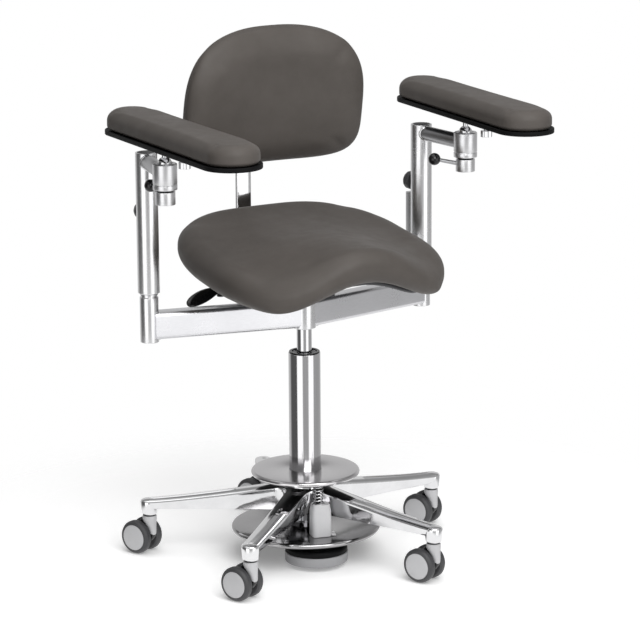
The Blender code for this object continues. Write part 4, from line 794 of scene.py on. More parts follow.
def buildBrake():
    post = middle("guide_rod")
    at, heading = onFloor(post), headingOf(post - column)
    low, high = levels("guide_rod")
    head, shank, under = foot["rodHead"], foot["rodRadius"], high - foot["headThick"]
    guide = lathe([(0, high), (head, high), (head, under), (shank, under), (shank, low), (0, low)], 40)
    piece("spring_guide", put(soften(guide, 0.0004), at), blackGloss, "height_pedal", ["guide_rod"])

    low, high = levels("release_spring")
    wound = coil(foot["springRadius"], foot["springWire"], low, high, foot["springTurns"])
    wound = put(wound, at, turn=heading)
    spring = piece("pedal_spring", wound, rodPolish, "brake_pedal", ["release_spring"], smooth=80)
    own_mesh(spring)

    low, high = levels("spring_block")
    body = put(releaseBlock(low, high), at, turn=heading)
    piece("release_block", body, castGrey, "brake_pedal", ["spring_block"])
    cap = soften(plainRing(foot["seatOuter"], foot["seatInner"], high - 0.0010, high + 0.0012, 48), 0.0004)
    piece("spring_seat", put(cap, at), turnedSteel, "brake_pedal")
    tab = soften(block(footBlock["tabSize"], (*footBlock["tabAt"], low + 0.0018)), 0.0008)
    bolt = soften(plainRod(footBlock["boltRadius"], low + 0.0034, low + 0.0060, 6), 0.0003)
    fixing = gather(tab, put(bolt, (*footBlock["boltAt"], 0)))
    piece("block_tab", put(fixing, at, turn=heading), lightGrey, "brake_pedal")

    low, high = levels("shoe_bracket")
    bracket = block((shoe["bracketDepth"], shoe["bracketWidth"], high - low), (0, 0, (low + high) / 2))
    bracket = put(soften(bracket, 0.005, 30, 4), at, turn=heading)
    piece("shoe_mount", bracket, castGrey, "brake_pedal", ["shoe_bracket"])
    at = onFloor(middle("brake_shoe"))
    low, high = levels("brake_plate")
    radius = shoe["plateRadius"]
    plate = lathe([(0, high), (radius - 0.003, high), (radius, high - 0.004), (radius, low), (0, low)], 120)
    piece("shoe_plate", put(soften(plate, 0.0012, 20), at), blackMatt, "brake_pedal", ["brake_plate"])
    low, high = levels("brake_shoe")
    radius, outer, inner = shoe["radius"], shoe["grooveOuter"], shoe["grooveInner"]
    groove = low + shoe["groove"]
    tread = lathe([
        (0, high), (radius, high), (radius - 0.0006, low), (outer, low), (outer - 0.002, groove),
        (inner + 0.002, groove), (inner, low), (0, low),
    ], 120)
    piece("floor_shoe", put(soften(tread, 0.0022, 30, 4), at), shoeRubber, "brake_pedal", ["brake_shoe"])
    print("brake built")


# arm frame

frameTube = {
    "bossRadius": 0.022, "bossBore": 0.0143, "bossDrop": 0.040, "bossHeight": 0.0536, "socketDepth": 0.0403,
    "beamHeight": 0.050, "beamDepth": 0.038, "beamCorner": 0.007, "beamLift": 0.0028, "postRadius": 0.0172,
    "postWall": 0.003, "postHollow": 0.004, "postGap": 0.0038, "innerRadius": 0.0150,
    "weld": 0.0016, "weldSpan": 0.86, "weldOver": 0.0018, "weldSink": 0.0020,
    "beamShare": 0.45, "weldShare": 0.93,  # of the post's radius
}


def buildArmFrame():
    low, high = levels("arm_frame")
    outer, bore = frameTube["bossRadius"], frameTube["bossBore"]
    bottom = levels("gas_cylinder")[1] - frameTube["bossDrop"]
    top, socket = bottom + frameTube["bossHeight"], bottom + frameTube["socketDepth"]
    boss = lathe([(0, top), (outer, top), (outer, bottom), (bore, bottom), (bore, socket), (0, socket)], 96)
    piece("frame_boss", put(soften(boss, 0.0012), column), tubeSteel, "seat_frame", ["arm_frame"])
    tall, deep, weld = frameTube["beamHeight"], frameTube["beamDepth"], frameTube["weld"]
    at = Vector((column.x, column.y, bottom + frameTube["beamLift"] + tall / 2))
    radius, inner = frameTube["postRadius"], frameTube["innerRadius"]
    hollow, hollowTop = radius - frameTube["postWall"], low + frameTube["postHollow"]
    for side in sides:
        post = anchor(f"arm_swivel_{side}")
        along = onFloor(post - column)
        heading = headingOf(along)
        length = along.length - radius * frameTube["beamShare"]
        bar = block((length, deep, tall), (length / 2, 0, 0))
        roundEdges(bar, edgesAlong(bar, 0), frameTube["beamCorner"], 5)
        piece(f"frame_beam_{side}", put(bar, at, turn=heading), beamSteel, "seat_frame")
        postTop = levels(f"arm_bush_{side}")[0] - frameTube["postGap"]
        upright = lathe([
            (0, high), (inner, high), (inner, postTop), (radius, postTop), (radius, low), (hollow, low),
            (hollow, hollowTop), (0, hollowTop),
        ], 72)
        piece(f"frame_post_{side}", put(soften(upright, 0.0009), onFloor(post)), tubeSteel, "seat_frame")
        beads = []
        for gap in (outer - frameTube["weldSink"], along.length - radius * frameTube["weldShare"]):
            bead = block((weld * 2, deep * frameTube["weldSpan"], tall + frameTube["weldOver"]))
            bead = soften(bead, weld * 0.9)
            beads.append(put(bead, (gap, 0, 0)))
        piece(f"frame_weld_{side}", put(gather(*beads), at, turn=heading), tubeSteel, "seat_frame")
    print("arm frame built")


# arms and ball clamps

arm = {
    "bushRadius": 0.0177, "bushFoot": 0.0166, "bushBore": 0.0155, "bushSeat": 0.0038,
    "sleeveRadius": 0.0202, "sleeveBore": 0.0180, "cap": 0.046, "plugRadius": 0.0172, "crossRadius": 0.014,
    "crossDrop": 0.0163, "weld": 0.0017, "housingRadius": 0.022, "housingRise": 0.0203,
    "housingHeight": 0.047, "grooveHeight": 0.0085, "grooveWidth": 0.0022, "groove": 0.0011,
    "knobDrop": 0.114, "knobRadius": 0.0175, "knobDepth": 0.0155, "knobFlutes": 12, "fluteDepth": 0.0003,
    "guideWidth": 0.020, "guideDepth": 0.0190, "guideLength": 0.105, "guideGap": 0.004, "guideSink": 0.0012,
    "crossRoot": 0.3, "crossTip": 0.6,  # of the sleeve's and the housing's radius
}
clamp = {
    "ballRadius": 0.013, "studRadius": 0.005, "studLength": 0.0282, "studHead": 0.0075, "nutRadius": 0.018,
    "nutHeight": 0.0235, "neckHeight": 0.0035, "neckRadius": 0.010, "washerRadius": 0.0150,
    "nutDish": 0.0008, "leverRadius": 0.0042, "leverRoot": 0.6, "leverTaper": 0.8, "leverGap": 0.001,
    "gripRadius": 0.0115, "gripMouth": 0.88, "gripFlat": 0.94,
}


def saddleWeld(radius, tube, bead):
    # weld ring where the cross tube meets the round sleeve
    bm = turnAbout(fullSpin(wireEnd(tube, bead, 0, 10), 64), "X")
    for vert in bm.verts:
        across = min(abs(vert.co.x), radius * 0.98)
        vert.co.y -= math.sqrt(radius ** 2 - across ** 2)
    return bm


knobForm = {"stem": 0.0025, "shank": 0.006, "dish": 0.0010, "crown": 0.16, "skirt": 0.12, "edge": 0.0010}


def gripKnob(sizes):
    # dished knob about Z with its stem's end at zero
    radius, depth = sizes["knobRadius"], sizes["knobDepth"]
    stem, shank, top = knobForm["stem"], knobForm["shank"], knobForm["stem"] + depth
    dish, shoulder = top - knobForm["dish"], top - depth * knobForm["crown"]
    skirt = stem + depth * knobForm["skirt"]
    bm = lathe([
        (0, dish), (radius * 0.62, dish), (radius * 0.70, top), (radius, shoulder), (radius, skirt),
        (radius * 0.94, stem), (shank, stem), (shank, 0), (0, 0),
    ], 96)
    return flute(soften(bm, knobForm["edge"], 20), radius, sizes["knobFlutes"], sizes["fluteDepth"])


def ballHousing(top, ballZ):
    radius, low = arm["housingRadius"], top - arm["housingHeight"]
    cup = clamp["ballRadius"] + 0.0005
    lip = math.sqrt(cup ** 2 - (top - ballZ) ** 2)
    hollow = arc(cup, ballZ, math.pi, math.asin(lip / cup), 9)[1:-1]
    band, inner = low + arm["grooveHeight"], radius - arm["groove"]
    bandTop = band + arm["grooveWidth"]
    bm = lathe([
        (0, ballZ - cup), *hollow, (lip, top), (radius - 0.0016, top), (radius, top - 0.0016),
        (radius, bandTop), (inner, bandTop), (inner, band), (radius, band), (radius, low), (0, low),
    ], 96)
    return soften(bm, 0.0004, 40, 2)


def stadium(length, width, count=96):
    # outline with straight sides along Y and half-round ends
    straight = (length - width) / 2
    outline = []
    for k in range(count):
        turn = math.tau * (k + 0.5) / count
        x, y = width / 2 * math.cos(turn), width / 2 * math.sin(turn)
        outline.append((x, y + math.copysign(straight, y)))
    return outline


def buildSleeve(side):
    post, ball = anchor(f"arm_swivel_{side}"), anchor(f"pad_pitch_{side}")
    forward, spot, body = onFloor(ball - post), onFloor(post), f"arm_{side}"
    turn = headingOf(forward) + math.pi / 2  # local -Y runs to the clamp
    low, high = levels(f"arm_bush_{side}")
    outer, ledge, bore = arm["bushRadius"], arm["bushFoot"], arm["bushBore"]
    bush = lathe([
        (outer, high), (outer, low + 0.0035), (ledge, low + 0.0026), (ledge, low), (bore, low), (bore, high),
    ], 72)
    bush = put(soften(bush, 0.0004), spot)
    piece(f"sleeve_bush_{side}", bush, rodPolish, f"arm_height_{side}", [f"arm_bush_{side}"])

    knobAt = anchor(f"lock_knob_turn_{side}")
    bottom, top = low + arm["bushSeat"], knobAt.z + arm["knobDrop"]
    radius, bore, capLow = arm["sleeveRadius"], arm["sleeveBore"], top - arm["cap"]
    tube = lathe([(0, top), (radius, top), (radius, bottom), (bore, bottom), (bore, capLow), (0, capLow)], 96)
    piece(f"arm_tube_{side}", put(soften(tube, 0.0022, 30, 4), spot), tubeSteel, body, [f"arm_sleeve_{side}"])
    plug = arm["plugRadius"]
    cap = lathe([
        (0, top + 0.0006), (plug - 0.0012, top + 0.0004), (plug, top - 0.0004), (plug, top - 0.003),
        (0, top - 0.003),
    ], 72)
    piece(f"sleeve_plug_{side}", put(soften(cap, 0.0003, 20), spot), darkMatt, body)
    crossZ = top - arm["crossDrop"]
    at = Vector((post.x, post.y, crossZ))
    root, tip = radius * arm["crossRoot"], forward.length - arm["housingRadius"] * arm["crossTip"]
    cross = plainRod(arm["crossRadius"], root, tip, 72)
    piece(f"cross_tube_{side}", put(cross, at, forward.normalized()), shadedCrossSteel, body)
    welds = saddleWeld(radius, arm["crossRadius"], arm["weld"])
    piece(f"cross_weld_{side}", put(welds, at, turn=turn), tubeSteel, body)
    housing = ballHousing(crossZ + arm["housingRise"], ball.z)
    piece(f"ball_housing_{side}", put(housing, onFloor(ball)), turnedSteel, body)
    deep, length = arm["guideDepth"], arm["guideLength"]
    guideTop = top - arm["knobDrop"] - arm["knobRadius"] - arm["guideGap"]
    middleY, middleZ = radius - arm["guideSink"] + deep / 2, guideTop - length / 2
    strip = block((arm["guideWidth"], deep, length), (0, middleY, middleZ))
    piece(f"guide_strip_{side}", put(soften(strip, 0.0022, 30, 4), spot, turn=turn), tubeSteel, body)
    knob = put(gripKnob(arm), knobAt, axisOf(f"lock_knob_turn_{side}"))
    piece(f"height_knob_{side}", knob, tyreGrey, f"lock_knob_{side}", [f"lock_knob_{side}"])


def buildClamp(side):
    centre, grip, body = anchor(f"clamp_turn_{side}"), middle(f"lever_ball_{side}"), f"clamp_{side}"
    radius, half, neck = clamp["nutRadius"], clamp["nutHeight"] / 2, clamp["neckRadius"]
    top, hollow = half + clamp["neckHeight"], -half + clamp["nutDish"]
    nut = lathe([
        (0, top), (neck, top), (neck, half), (radius, half), (radius, -half), (radius - 0.003, -half),
        (radius - 0.004, hollow), (0, hollow),
    ], 96)
    piece(f"clamp_ring_{side}", put(soften(nut, 0.0009), centre), turnedSteel, body, [f"clamp_nut_{side}"])
    washer = plainRing(clamp["washerRadius"], neck + 0.0001, half + 0.0002, top - 0.0004, 72)
    piece(f"clamp_washer_{side}", put(soften(washer, 0.0004), centre), blackMatt, body)
    way, thick = (grip - centre).normalized(), clamp["leverRadius"]
    start, end = radius * clamp["leverRoot"], (grip - centre).length - clamp["leverGap"]
    lever = lathe([(0, end), (thick * clamp["leverTaper"], end), (thick, start), (0, start)], 40)
    piece(f"clamp_lever_{side}", put(lever, centre, way), shadedCrossSteel, body)
    knobBall = bmesh.new()
    bmesh.ops.create_uvsphere(knobBall, u_segments=48, v_segments=24, radius=clamp["gripRadius"])
    mouth = [v for v in knobBall.verts if v.co.z < -clamp["gripRadius"] * clamp["gripMouth"]]
    bmesh.ops.scale(knobBall, verts=mouth, vec=(1, 1, clamp["gripFlat"]))
    piece(f"lever_grip_{side}", put(knobBall, grip, way), blackGloss, body, [f"lever_ball_{side}"])

    radius, stud = clamp["ballRadius"], clamp["studRadius"]
    head, length = clamp["studHead"], clamp["studLength"]
    sphere = arc(radius, 0, math.asin(stud / radius), math.pi, 15)[:-1]
    pin = lathe([
        (0, length), (head, length), (head, length - 0.0030), (stud, length - 0.0045), *sphere, (0, -radius),
    ], 64)
    pin = put(pin, anchor(f"pad_pitch_{side}"))
    piece(f"ball_pin_{side}", pin, rodPolish, f"ball_{side}", [f"ball_stud_{side}"])
    print("arm built,", side)


pad = {
    "plateLength": 0.500, "plateWidth": 0.106, "railLength": 0.080, "railWidth": 0.034, "lugLength": 0.054,
    "lugWidth": 0.022, "lugCorner": 0.006, "railThick": 0.007, "screwRadius": 0.0045, "screwHead": 0.0108,
    "screwHeight": 0.012, "screwFlutes": 8, "fluteDepth": 0.0011, "trayRim": 0.0030, "trayStep": 0.0012,
    "trayDepth": 0.0014, "inset": 0.004, "thick": 0.0355, "crown": 0.003, "topRoll": 0.018, "lowRoll": 0.008,
    "cuts": 40, "held": 0.0006, "cap": 0.0015, "pressure": 4.0, "fill": 0.8,
}


def buildPadMount(side):
    turn = headingOf(axisOf(f"pad_slide_{side}")) + math.pi / 2  # local -Y runs forward
    low, high = levels(f"pad_rail_{side}")
    half, lug, corner = pad["railWidth"] / 2, pad["lugWidth"] / 2, pad["lugCorner"]
    front = -pad["railLength"] / 2
    tip = front - pad["lugLength"]
    outline = [
        (half, -front), (-half, -front), (-half, front), (-lug, front), (-lug, tip + corner),
        (corner - lug, tip), (lug - corner, tip), (lug, tip + corner), (lug, front), (half, front),
    ]
    rail = put(soften(slab(outline, low, high), 0.0008), onFloor(anchor(f"pad_pitch_{side}")), turn=turn)
    piece(f"slide_rail_{side}", rail, beamSteel, f"rail_{side}", [f"pad_rail_{side}"])
    low, high = levels(f"thumbscrew_{side}")
    deep, head, thread, under = high - low, pad["screwHead"], pad["screwRadius"], -pad["railThick"]
    wash, headTop = thread * 1.5, pad["screwHeight"] - deep
    screw = lathe([
        (0, under - 0.0002), (thread, under - 0.0002), (wash, under - 0.0010), (wash, under - 0.0048),
        (thread, under - 0.0070), (thread, headTop), (head, headTop), (head, -deep), (head * 0.7, -deep),
        (head * 0.6, 0.0008 - deep), (0, 0.0008 - deep),
    ], 96)
    screw = flute(soften(screw, 0.0006), head, pad["screwFlutes"], pad["fluteDepth"])
    screw = put(screw, anchor(f"thumbscrew_turn_{side}"))
    piece(f"rail_screw_{side}", screw, castPolish, f"thumbscrew_{side}", [f"thumbscrew_{side}"])
    low, high = levels(f"pad_plate_{side}")
    tray = slab(stadium(pad["plateLength"], pad["plateWidth"]), low, high)
    lid = [f for f in tray.faces if f.normal.z > 0.9]
    bmesh.ops.inset_region(tray, faces=lid, thickness=pad["trayRim"], depth=0)
    bmesh.ops.inset_region(tray, faces=lid, thickness=pad["trayStep"], depth=-pad["trayDepth"])
    at = onFloor(middle(f"pad_plate_{side}"))
    tray = put(soften(tray, 0.0009), at, turn=turn)
    piece(f"pad_tray_{side}", tray, blackMatt, f"pad_{side}", [f"pad_plate_{side}"])
    return at, turn


# upholstery

cover = {
    "frames": 20, "evened": 14,
    "cloth": {
        "quality": 5, "mass": 0.3, "tension_stiffness": 15, "compression_stiffness": 5, "shear_stiffness": 5,
        "bending_stiffness": 8, "use_pressure": True,
    },
}


def evenBall(cuts):
    # ball of even quads, without poles
    bm = bmesh.new()
    bmesh.ops.create_cube(bm, size=2)
    bmesh.ops.subdivide_edges(bm, edges=bm.edges, cuts=cuts, use_grid_fill=True)
    for vert in bm.verts:
        vert.co.normalize()
    return bm


def cushionForm(cuts, outline, lift, thick, topRoll, lowRoll, reach=1.0):
    # the ball's crown becomes the top, its belt the rolled sides and its foot the flat underside
    flat, belt = 38, 4  # degrees up the ball
    topInset = topRoll * reach
    bm = evenBall(cuts)
    for vert in bm.verts:
        turn = headingOf(vert.co)
        up = math.degrees(math.asin(max(-1, min(1, vert.co.z))))
        share, inset, depth = 1, 0, 0
        if up > flat:
            share, inset = (90 - up) / (90 - flat), topInset
        elif up > belt:
            lean = (flat - up) / (flat - belt) * math.pi / 2
            inset, depth = topInset * (1 - math.sin(lean)), topRoll * (1 - math.cos(lean))
        elif up > -belt:
            depth = topRoll + (thick - topRoll - lowRoll) * (belt - up) / (2 * belt)
        elif up > -flat:
            lean = (-belt - up) / (flat - belt) * math.pi / 2
            inset, depth = lowRoll * (1 - math.cos(lean)), thick - lowRoll * (1 - math.sin(lean))
        else:
            share, inset, depth = (90 + up) / (90 - flat), lowRoll, thick
        x, y = outline(turn, inset)
        vert.co = lift(x * share, y * share, depth)
    bm.normal_update()
    return bm


def squarish(turn, half, ahead, behind, square):
    # superellipse with its own reach each way
    c, s = math.cos(turn), math.sin(turn)
    reach = ahead if s > 0 else behind
    return half * math.copysign(abs(c) ** (2 / square), c), reach * math.copysign(abs(s) ** (2 / square), s)


def upholster(name, bm, held, matrix, settings, body, cadNode):
    # blows the cover up over its foam, then places it
    bmesh.ops.recalc_face_normals(bm, faces=bm.faces)
    bm.normal_update()
    pins = [held(vert.co) for vert in bm.verts]
    mesh = meshOf(name, bm)
    item = linked(name, mesh)
    blow(item, pins, settings)
    mesh.transform(matrix)
    mesh.materials.append(leather)
    mesh.shade_smooth()
    subdivide(item, 1)
    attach(item, body)
    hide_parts(cadNode)
    print("cushion made,", name)


def blow(item, pins, settings):
    # cloth under pressure for a few frames, with the movement capped
    group = item.vertex_groups.new(name="held")
    group.add([i for i, pinned in enumerate(pins) if pinned], 1.0, "REPLACE")
    cloth = item.modifiers.new("blow", "CLOTH")
    cloth.point_cache.frame_end = cover["frames"]
    for key, value in cover["cloth"].items():
        setattr(cloth.settings, key, value)
    cloth.settings.uniform_pressure_force = settings["pressure"]
    cloth.settings.effector_weights.gravity = 0
    cloth.settings.vertex_group_mass = "held"
    for step in range(1, cover["frames"] + 1):
        scene.frame_set(step)
    blown = item.evaluated_get(bpy.context.evaluated_depsgraph_get())
    places = [vert.co.copy() for vert in blown.data.vertices]
    item.modifiers.remove(cloth)
    item.vertex_groups.clear()
    scene.frame_set(1)
    rest = [vert.co.copy() for vert in item.data.vertices]
    bm = bmesh.new()
    bm.from_mesh(item.data)
    for vert, start, there in zip(bm.verts, rest, places):
        move = there - start
        vert.co = move * min(1, settings["cap"] / max(move.length, 1e-6))
    free = [v for v, pinned in zip(bm.verts, pins) if not pinned]
    for _ in range(cover["evened"]):  # the movement is evened out, so the cover stays taut
        bmesh.ops.smooth_vert(bm, verts=free, factor=0.5, use_axis_x=True, use_axis_y=True, use_axis_z=True)
    for vert, start in zip(bm.verts, rest):
        vert.co += start
    bm.to_mesh(item.data)
    bm.free()


def buildArmPad(side, at, turn):
    length, width = pad["plateLength"] - 2 * pad["inset"], pad["plateWidth"] - 2 * pad["inset"]
    straight = (length - width) / 2

    def outline(angle, inset):
        end, quarter = width / 2 - inset, math.pi / 4
        lean = math.asin(min(1, abs(math.sin(angle))))
        bend = max(0, lean / quarter - 1) * math.pi / 2
        x, y = end * math.cos(bend), straight * min(1, lean / quarter) + end * math.sin(bend)
        return math.copysign(x, math.cos(angle)), math.copysign(y, math.sin(angle))

    def lift(x, y, depth):
        crown = pad["crown"] * (2 * x / width) ** 2 * (1 - depth / pad["thick"])
        return x, y, pad["thick"] - depth - crown

    def held(co):
        return co.z < pad["held"]

    bm = cushionForm(pad["cuts"], outline, lift, pad["thick"], pad["topRoll"], pad["lowRoll"])
    low = levels(f"arm_pad_{side}")[0]
    matrix = Matrix.Translation((at.x, at.y, low)) @ Matrix.Rotation(turn, 4, "Z")
    upholster(f"arm_cushion_{side}", bm, held, matrix, pad, f"pad_{side}", f"arm_pad_{side}")


saddle = {
    "half": 0.2335, "front": 0.2306, "rear": 0.218, "square": 2.71, "thick": 0.060, "topRoll": 0.029,
    "reach": 1.35, "lowRoll": 0.025, "wingDrop": 0.063, "wingShare": 0.78, "wingFade": 1.6, "pommel": 0.009,
    "rearRise": 0.030, "sideRise": 0.0055, "underside": 0.0425, "panInset": 0.044, "panThick": 0.009,
    "panGap": 0.0003, "panRolls": (0.0030, 0.0045), "panCuts": 34, "earHalf": 0.005, "earOut": 0.0505,
    "earOutline": (
        (-0.019, 0.038), (-0.0095, 0.0), (-0.0067, -0.0067), (0.0, -0.0095), (0.0067, -0.0067), (0.0095, 0.0),
        (0.019, 0.038),
    ),
    "cuts": 46, "held": 0.0008, "cap": 0.0025, "pressure": 4.0, "fill": 0.75,
}


def saddleSwell(x, y):
    # height of the saddle's underside: raised middle in front, drooping wings, raised rear
    across = (x / saddle["half"]) ** 2
    ridge = 1 - min(1, across / saddle["wingShare"] ** 2)
    forward = max(0, 0.5 - 0.5 * y / saddle["front"])
    rear = max(0, y / saddle["rear"])
    rise = saddle["pommel"] * forward ** 2 + saddle["rearRise"] * rear ** 2 + saddle["sideRise"] * across
    return rise - saddle["wingDrop"] * (1 - ridge ** 2) * forward ** saddle["wingFade"]


def saddleOutline(turn, inset):
    half, rear, front = (saddle[key] - inset for key in ("half", "rear", "front"))
    return squarish(turn, half, rear, front, saddle["square"])


def buildSeat():
    pivot = anchor("seat_tilt")
    spot = (0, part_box("seat_cushion")[1].y - saddle["rear"], pivot.z + saddle["underside"])

    def lift(x, y, depth):
        return x, y, saddleSwell(x, y) + saddle["thick"] - depth

    def held(co):
        return co.z < saddleSwell(co.x, co.y) + saddle["held"]

    def panOutline(turn, inset):
        return saddleOutline(turn, saddle["panInset"] + inset)

    def panLift(x, y, depth):
        return x, y, saddleSwell(x, y) - saddle["panGap"] - depth

    rolls = saddle["topRoll"], saddle["lowRoll"], saddle["reach"]
    bm = cushionForm(saddle["cuts"], saddleOutline, lift, saddle["thick"], *rolls)
    upholster("saddle_cushion", bm, held, Matrix.Translation(spot), saddle, "seat", "seat_cushion")
    shell = cushionForm(saddle["panCuts"], panOutline, panLift, saddle["panThick"], *saddle["panRolls"])
    piece("saddle_pan", put(shell, spot), darkMatt, "seat", ["seat_pan"], smooth=60)
    ears = []
    for way in (-1, 1):
        ear = slab(saddle["earOutline"], -saddle["earHalf"], saddle["earHalf"])
        ear = turnAbout(turnAbout(soften(ear, 0.0015), "X"), "Z")
        ears.append(put(ear, pivot + sideways * way * saddle["earOut"]))
    piece("pan_ears", gather(*ears), darkMatt, "seat")
    print("seat built")


carrier = {"half": 0.060, "sheet": 0.004, "front": 0.027, "pinRadius": 0.005, "pinReach": 0.066}
levers = {
    "neck": 0.0045, "droopFrom": 0.4, "droopPower": 1.3,
    "long": {"reach": 0.135, "drop": 0.024, "wide": 0.016, "tilt": math.radians(35)},
    "short": {"reach": 0.088, "drop": 0.006, "wide": 0.009, "tilt": math.radians(10)},
}


def paddle(shape):
    # drooping leaf paddle on a thin neck, drawn along local Z and turned to run along -X
    neck, reach, wide = levers["neck"], shape["reach"], shape["wide"]
    sections = [(0.0004, neck * 0.45, neck * 0.45), (neck * 0.6, neck * 0.9, neck * 0.9)]
    sections += [(reach * 0.25, neck * 0.8, neck * 0.9), (reach * 0.45, neck * 0.8, neck)]
    leaf = [  # shares of the reach, the neck and the width
        (0.55, 0.9, 0.55), (0.66, 0.95, 0.88), (0.78, 0.95, 1), (0.90, 0.85, 0.88), (0.97, 0.6, 0.58),
        (1, 0.3, 0.25),
    ]
    sections += [(reach * along, neck * deep, wide * across) for along, deep, across in leaf]
    bm = turnAbout(loft([(0, 0, *section) for section in sections]), "Z", -shape["tilt"])
    start = levers["droopFrom"]
    for vert in bm.verts:
        past = max(0, vert.co.z / reach - start) / (1 - start)
        vert.co.x -= shape["drop"] * past ** levers["droopPower"]
    return turnAbout(bm, "Y", -math.pi / 2)


def buildCarrier():
    low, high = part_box("seat_carrier")
    half, inner, floor = carrier["half"], carrier["half"] - carrier["sheet"], low.z + carrier["sheet"]
    channel = slab([
        (-half, high.z), (-half, low.z), (half, low.z), (half, high.z), (inner, high.z), (inner, floor),
        (-inner, floor), (-inner, high.z),
    ], -high.y, carrier["front"] - anchor("seat_tilt").y)
    channel = soften(turnAbout(channel, "X"), 0.0010)
    piece("carrier_channel", channel, darkMatt, "seat_frame", ["seat_carrier"])
    pin = soften(plainRod(carrier["pinRadius"], -carrier["pinReach"], carrier["pinReach"], 40), 0.0008)
    piece("pivot_pin", put(pin, anchor("seat_tilt"), sideways), turnedSteel, "seat_frame", ["seat_pivot_pin"])
    for name, size, lever in (("depth_paddle", "long", "seat_lever"), ("tilt_paddle", "short", "tilt_lever")):
        piece(name, put(paddle(levers[size]), anchor(f"{lever}_lift")), blackGloss, lever, [lever], fine=2)
    print("carrier built")


back = {
    "half": 0.1885, "up": 0.159, "down": 0.1095, "topSquare": 2.9, "lowSquare": 4.1, "thick": 0.056,
    "wrap": 0.028, "crown": 0.008, "topRoll": 0.030, "reach": 1.5, "lowRoll": 0.018, "middle": -0.013,
    "front": -0.109, "tilt": math.radians(10.2), "shellInset": 0.020, "shellThick": 0.007,
    "shellGap": 0.0003, "shellRolls": (0.0020, 0.0040), "shellCuts": 34, "lugHalf": 0.0165,
    "lugSink": 0.0035,
    "cuts": 42, "held": 0.0008, "cap": 0.0025, "pressure": 4.0, "fill": 0.75,
}


def backOutline(turn, inset):
    square = back["topSquare"] if math.sin(turn) > 0 else back["lowSquare"]
    return squarish(turn, back["half"] - inset, back["up"] - inset, back["down"] - inset, square)


def backFace(x):
    return back["front"] - back["wrap"] * (x / back["half"]) ** 2


def buildBackrest():
    place = Matrix.Translation(anchor("back_tilt")) @ Matrix.Rotation(back["tilt"], 4, "X")

    def lift(x, z, depth):
        share = (x / back["half"]) ** 2 + (z / (back["up"] if z > 0 else back["down"])) ** 2
        crown = back["crown"] * min(1, share) * (1 - depth / back["thick"])
        return x, backFace(x) + crown + depth, z + back["middle"]

    def held(co):
        return co.y > backFace(co.x) + back["thick"] - back["held"]

    def shellOutline(turn, inset):
        return backOutline(turn, back["shellInset"] + inset)

    def shellLift(x, z, depth):
        return x, backFace(x) + back["thick"] + back["shellGap"] + depth, z + back["middle"]

    rolls = back["topRoll"], back["lowRoll"], back["reach"]
    bm = cushionForm(back["cuts"], backOutline, lift, back["thick"], *rolls)
    upholster("back_cushion", bm, held, place, back, "backrest", "backrest_cushion")
    shell = cushionForm(back["shellCuts"], shellOutline, shellLift, back["shellThick"], *back["shellRolls"])
    bmesh.ops.recalc_face_normals(shell, faces=shell.faces)
    bmesh.ops.transform(shell, matrix=place, verts=shell.verts)
    piece("back_shell", shell, darkMatt, "backrest", ["backrest_shell"], smooth=60)
    root = backFace(0) + back["thick"] + back["lugSink"]
    lug = slab([
        (root, -0.0155), (0.0, -0.0096), (0.0068, -0.0068), (0.0096, 0.0), (0.0068, 0.0068), (0.0, 0.0096),
        (root, 0.0155),
    ], -back["lugHalf"], back["lugHalf"])
    soften(turnAbout(turnAbout(lug, "X"), "Z"), 0.0012)
    bmesh.ops.transform(lug, matrix=place, verts=lug.verts)
    piece("hinge_lug", lug, darkMatt, "backrest")
    print("backrest built")


backBar = {"width": 0.030, "thick": 0.008, "bend": 0.022, "bendSteps": 12}
carriage = {
    "size": (0.050, 0.029, 0.062), "behindBar": 0.0145, "earWidth": 0.008, "earHeight": 0.022,
    "earOut": 0.021, "earRoot": 0.009, "earReach": 0.011, "pinRadius": 0.006, "pinReach": 0.0245,
    "knobRadius": 0.019, "knobDepth": 0.020, "knobFlutes": 14, "fluteDepth": 0.0011,
}


def buildBackBar():
    low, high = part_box("back_bar")
    half, thick, bend = backBar["width"] / 2, backBar["thick"], backBar["bend"]
    bm = bmesh.new()
    corners = ((-half, low.z), (half, low.z), (half, low.z + thick), (-half, low.z + thick))
    face = bm.faces.new([bm.verts.new((x, low.y, z)) for x, z in corners])

    def onwards(face, move):
        grown = bmesh.ops.extrude_face_region(bm, geom=[face])["geom"]
        bmesh.ops.translate(bm, verts=only(grown, BMVert), vec=move)
        return only(grown, BMFace)[0]

    turnY = high.y - thick / 2 - bend
    face = onwards(face, (0, turnY - low.y, 0))
    centre = (0, turnY, low.z + thick / 2 + bend)
    spun = bmesh.ops.spin(
        bm, geom=[face], cent=centre, axis=(1, 0, 0), angle=math.pi / 2, steps=backBar["bendSteps"])
    onwards(only(spun["geom_last"], BMFace)[0], (0, 0, high.z - centre[2]))
    piece("back_upright", soften(closeSeams(bm), 0.0010), barPolish, "seat_frame", ["back_bar"])
    print("back bar built")


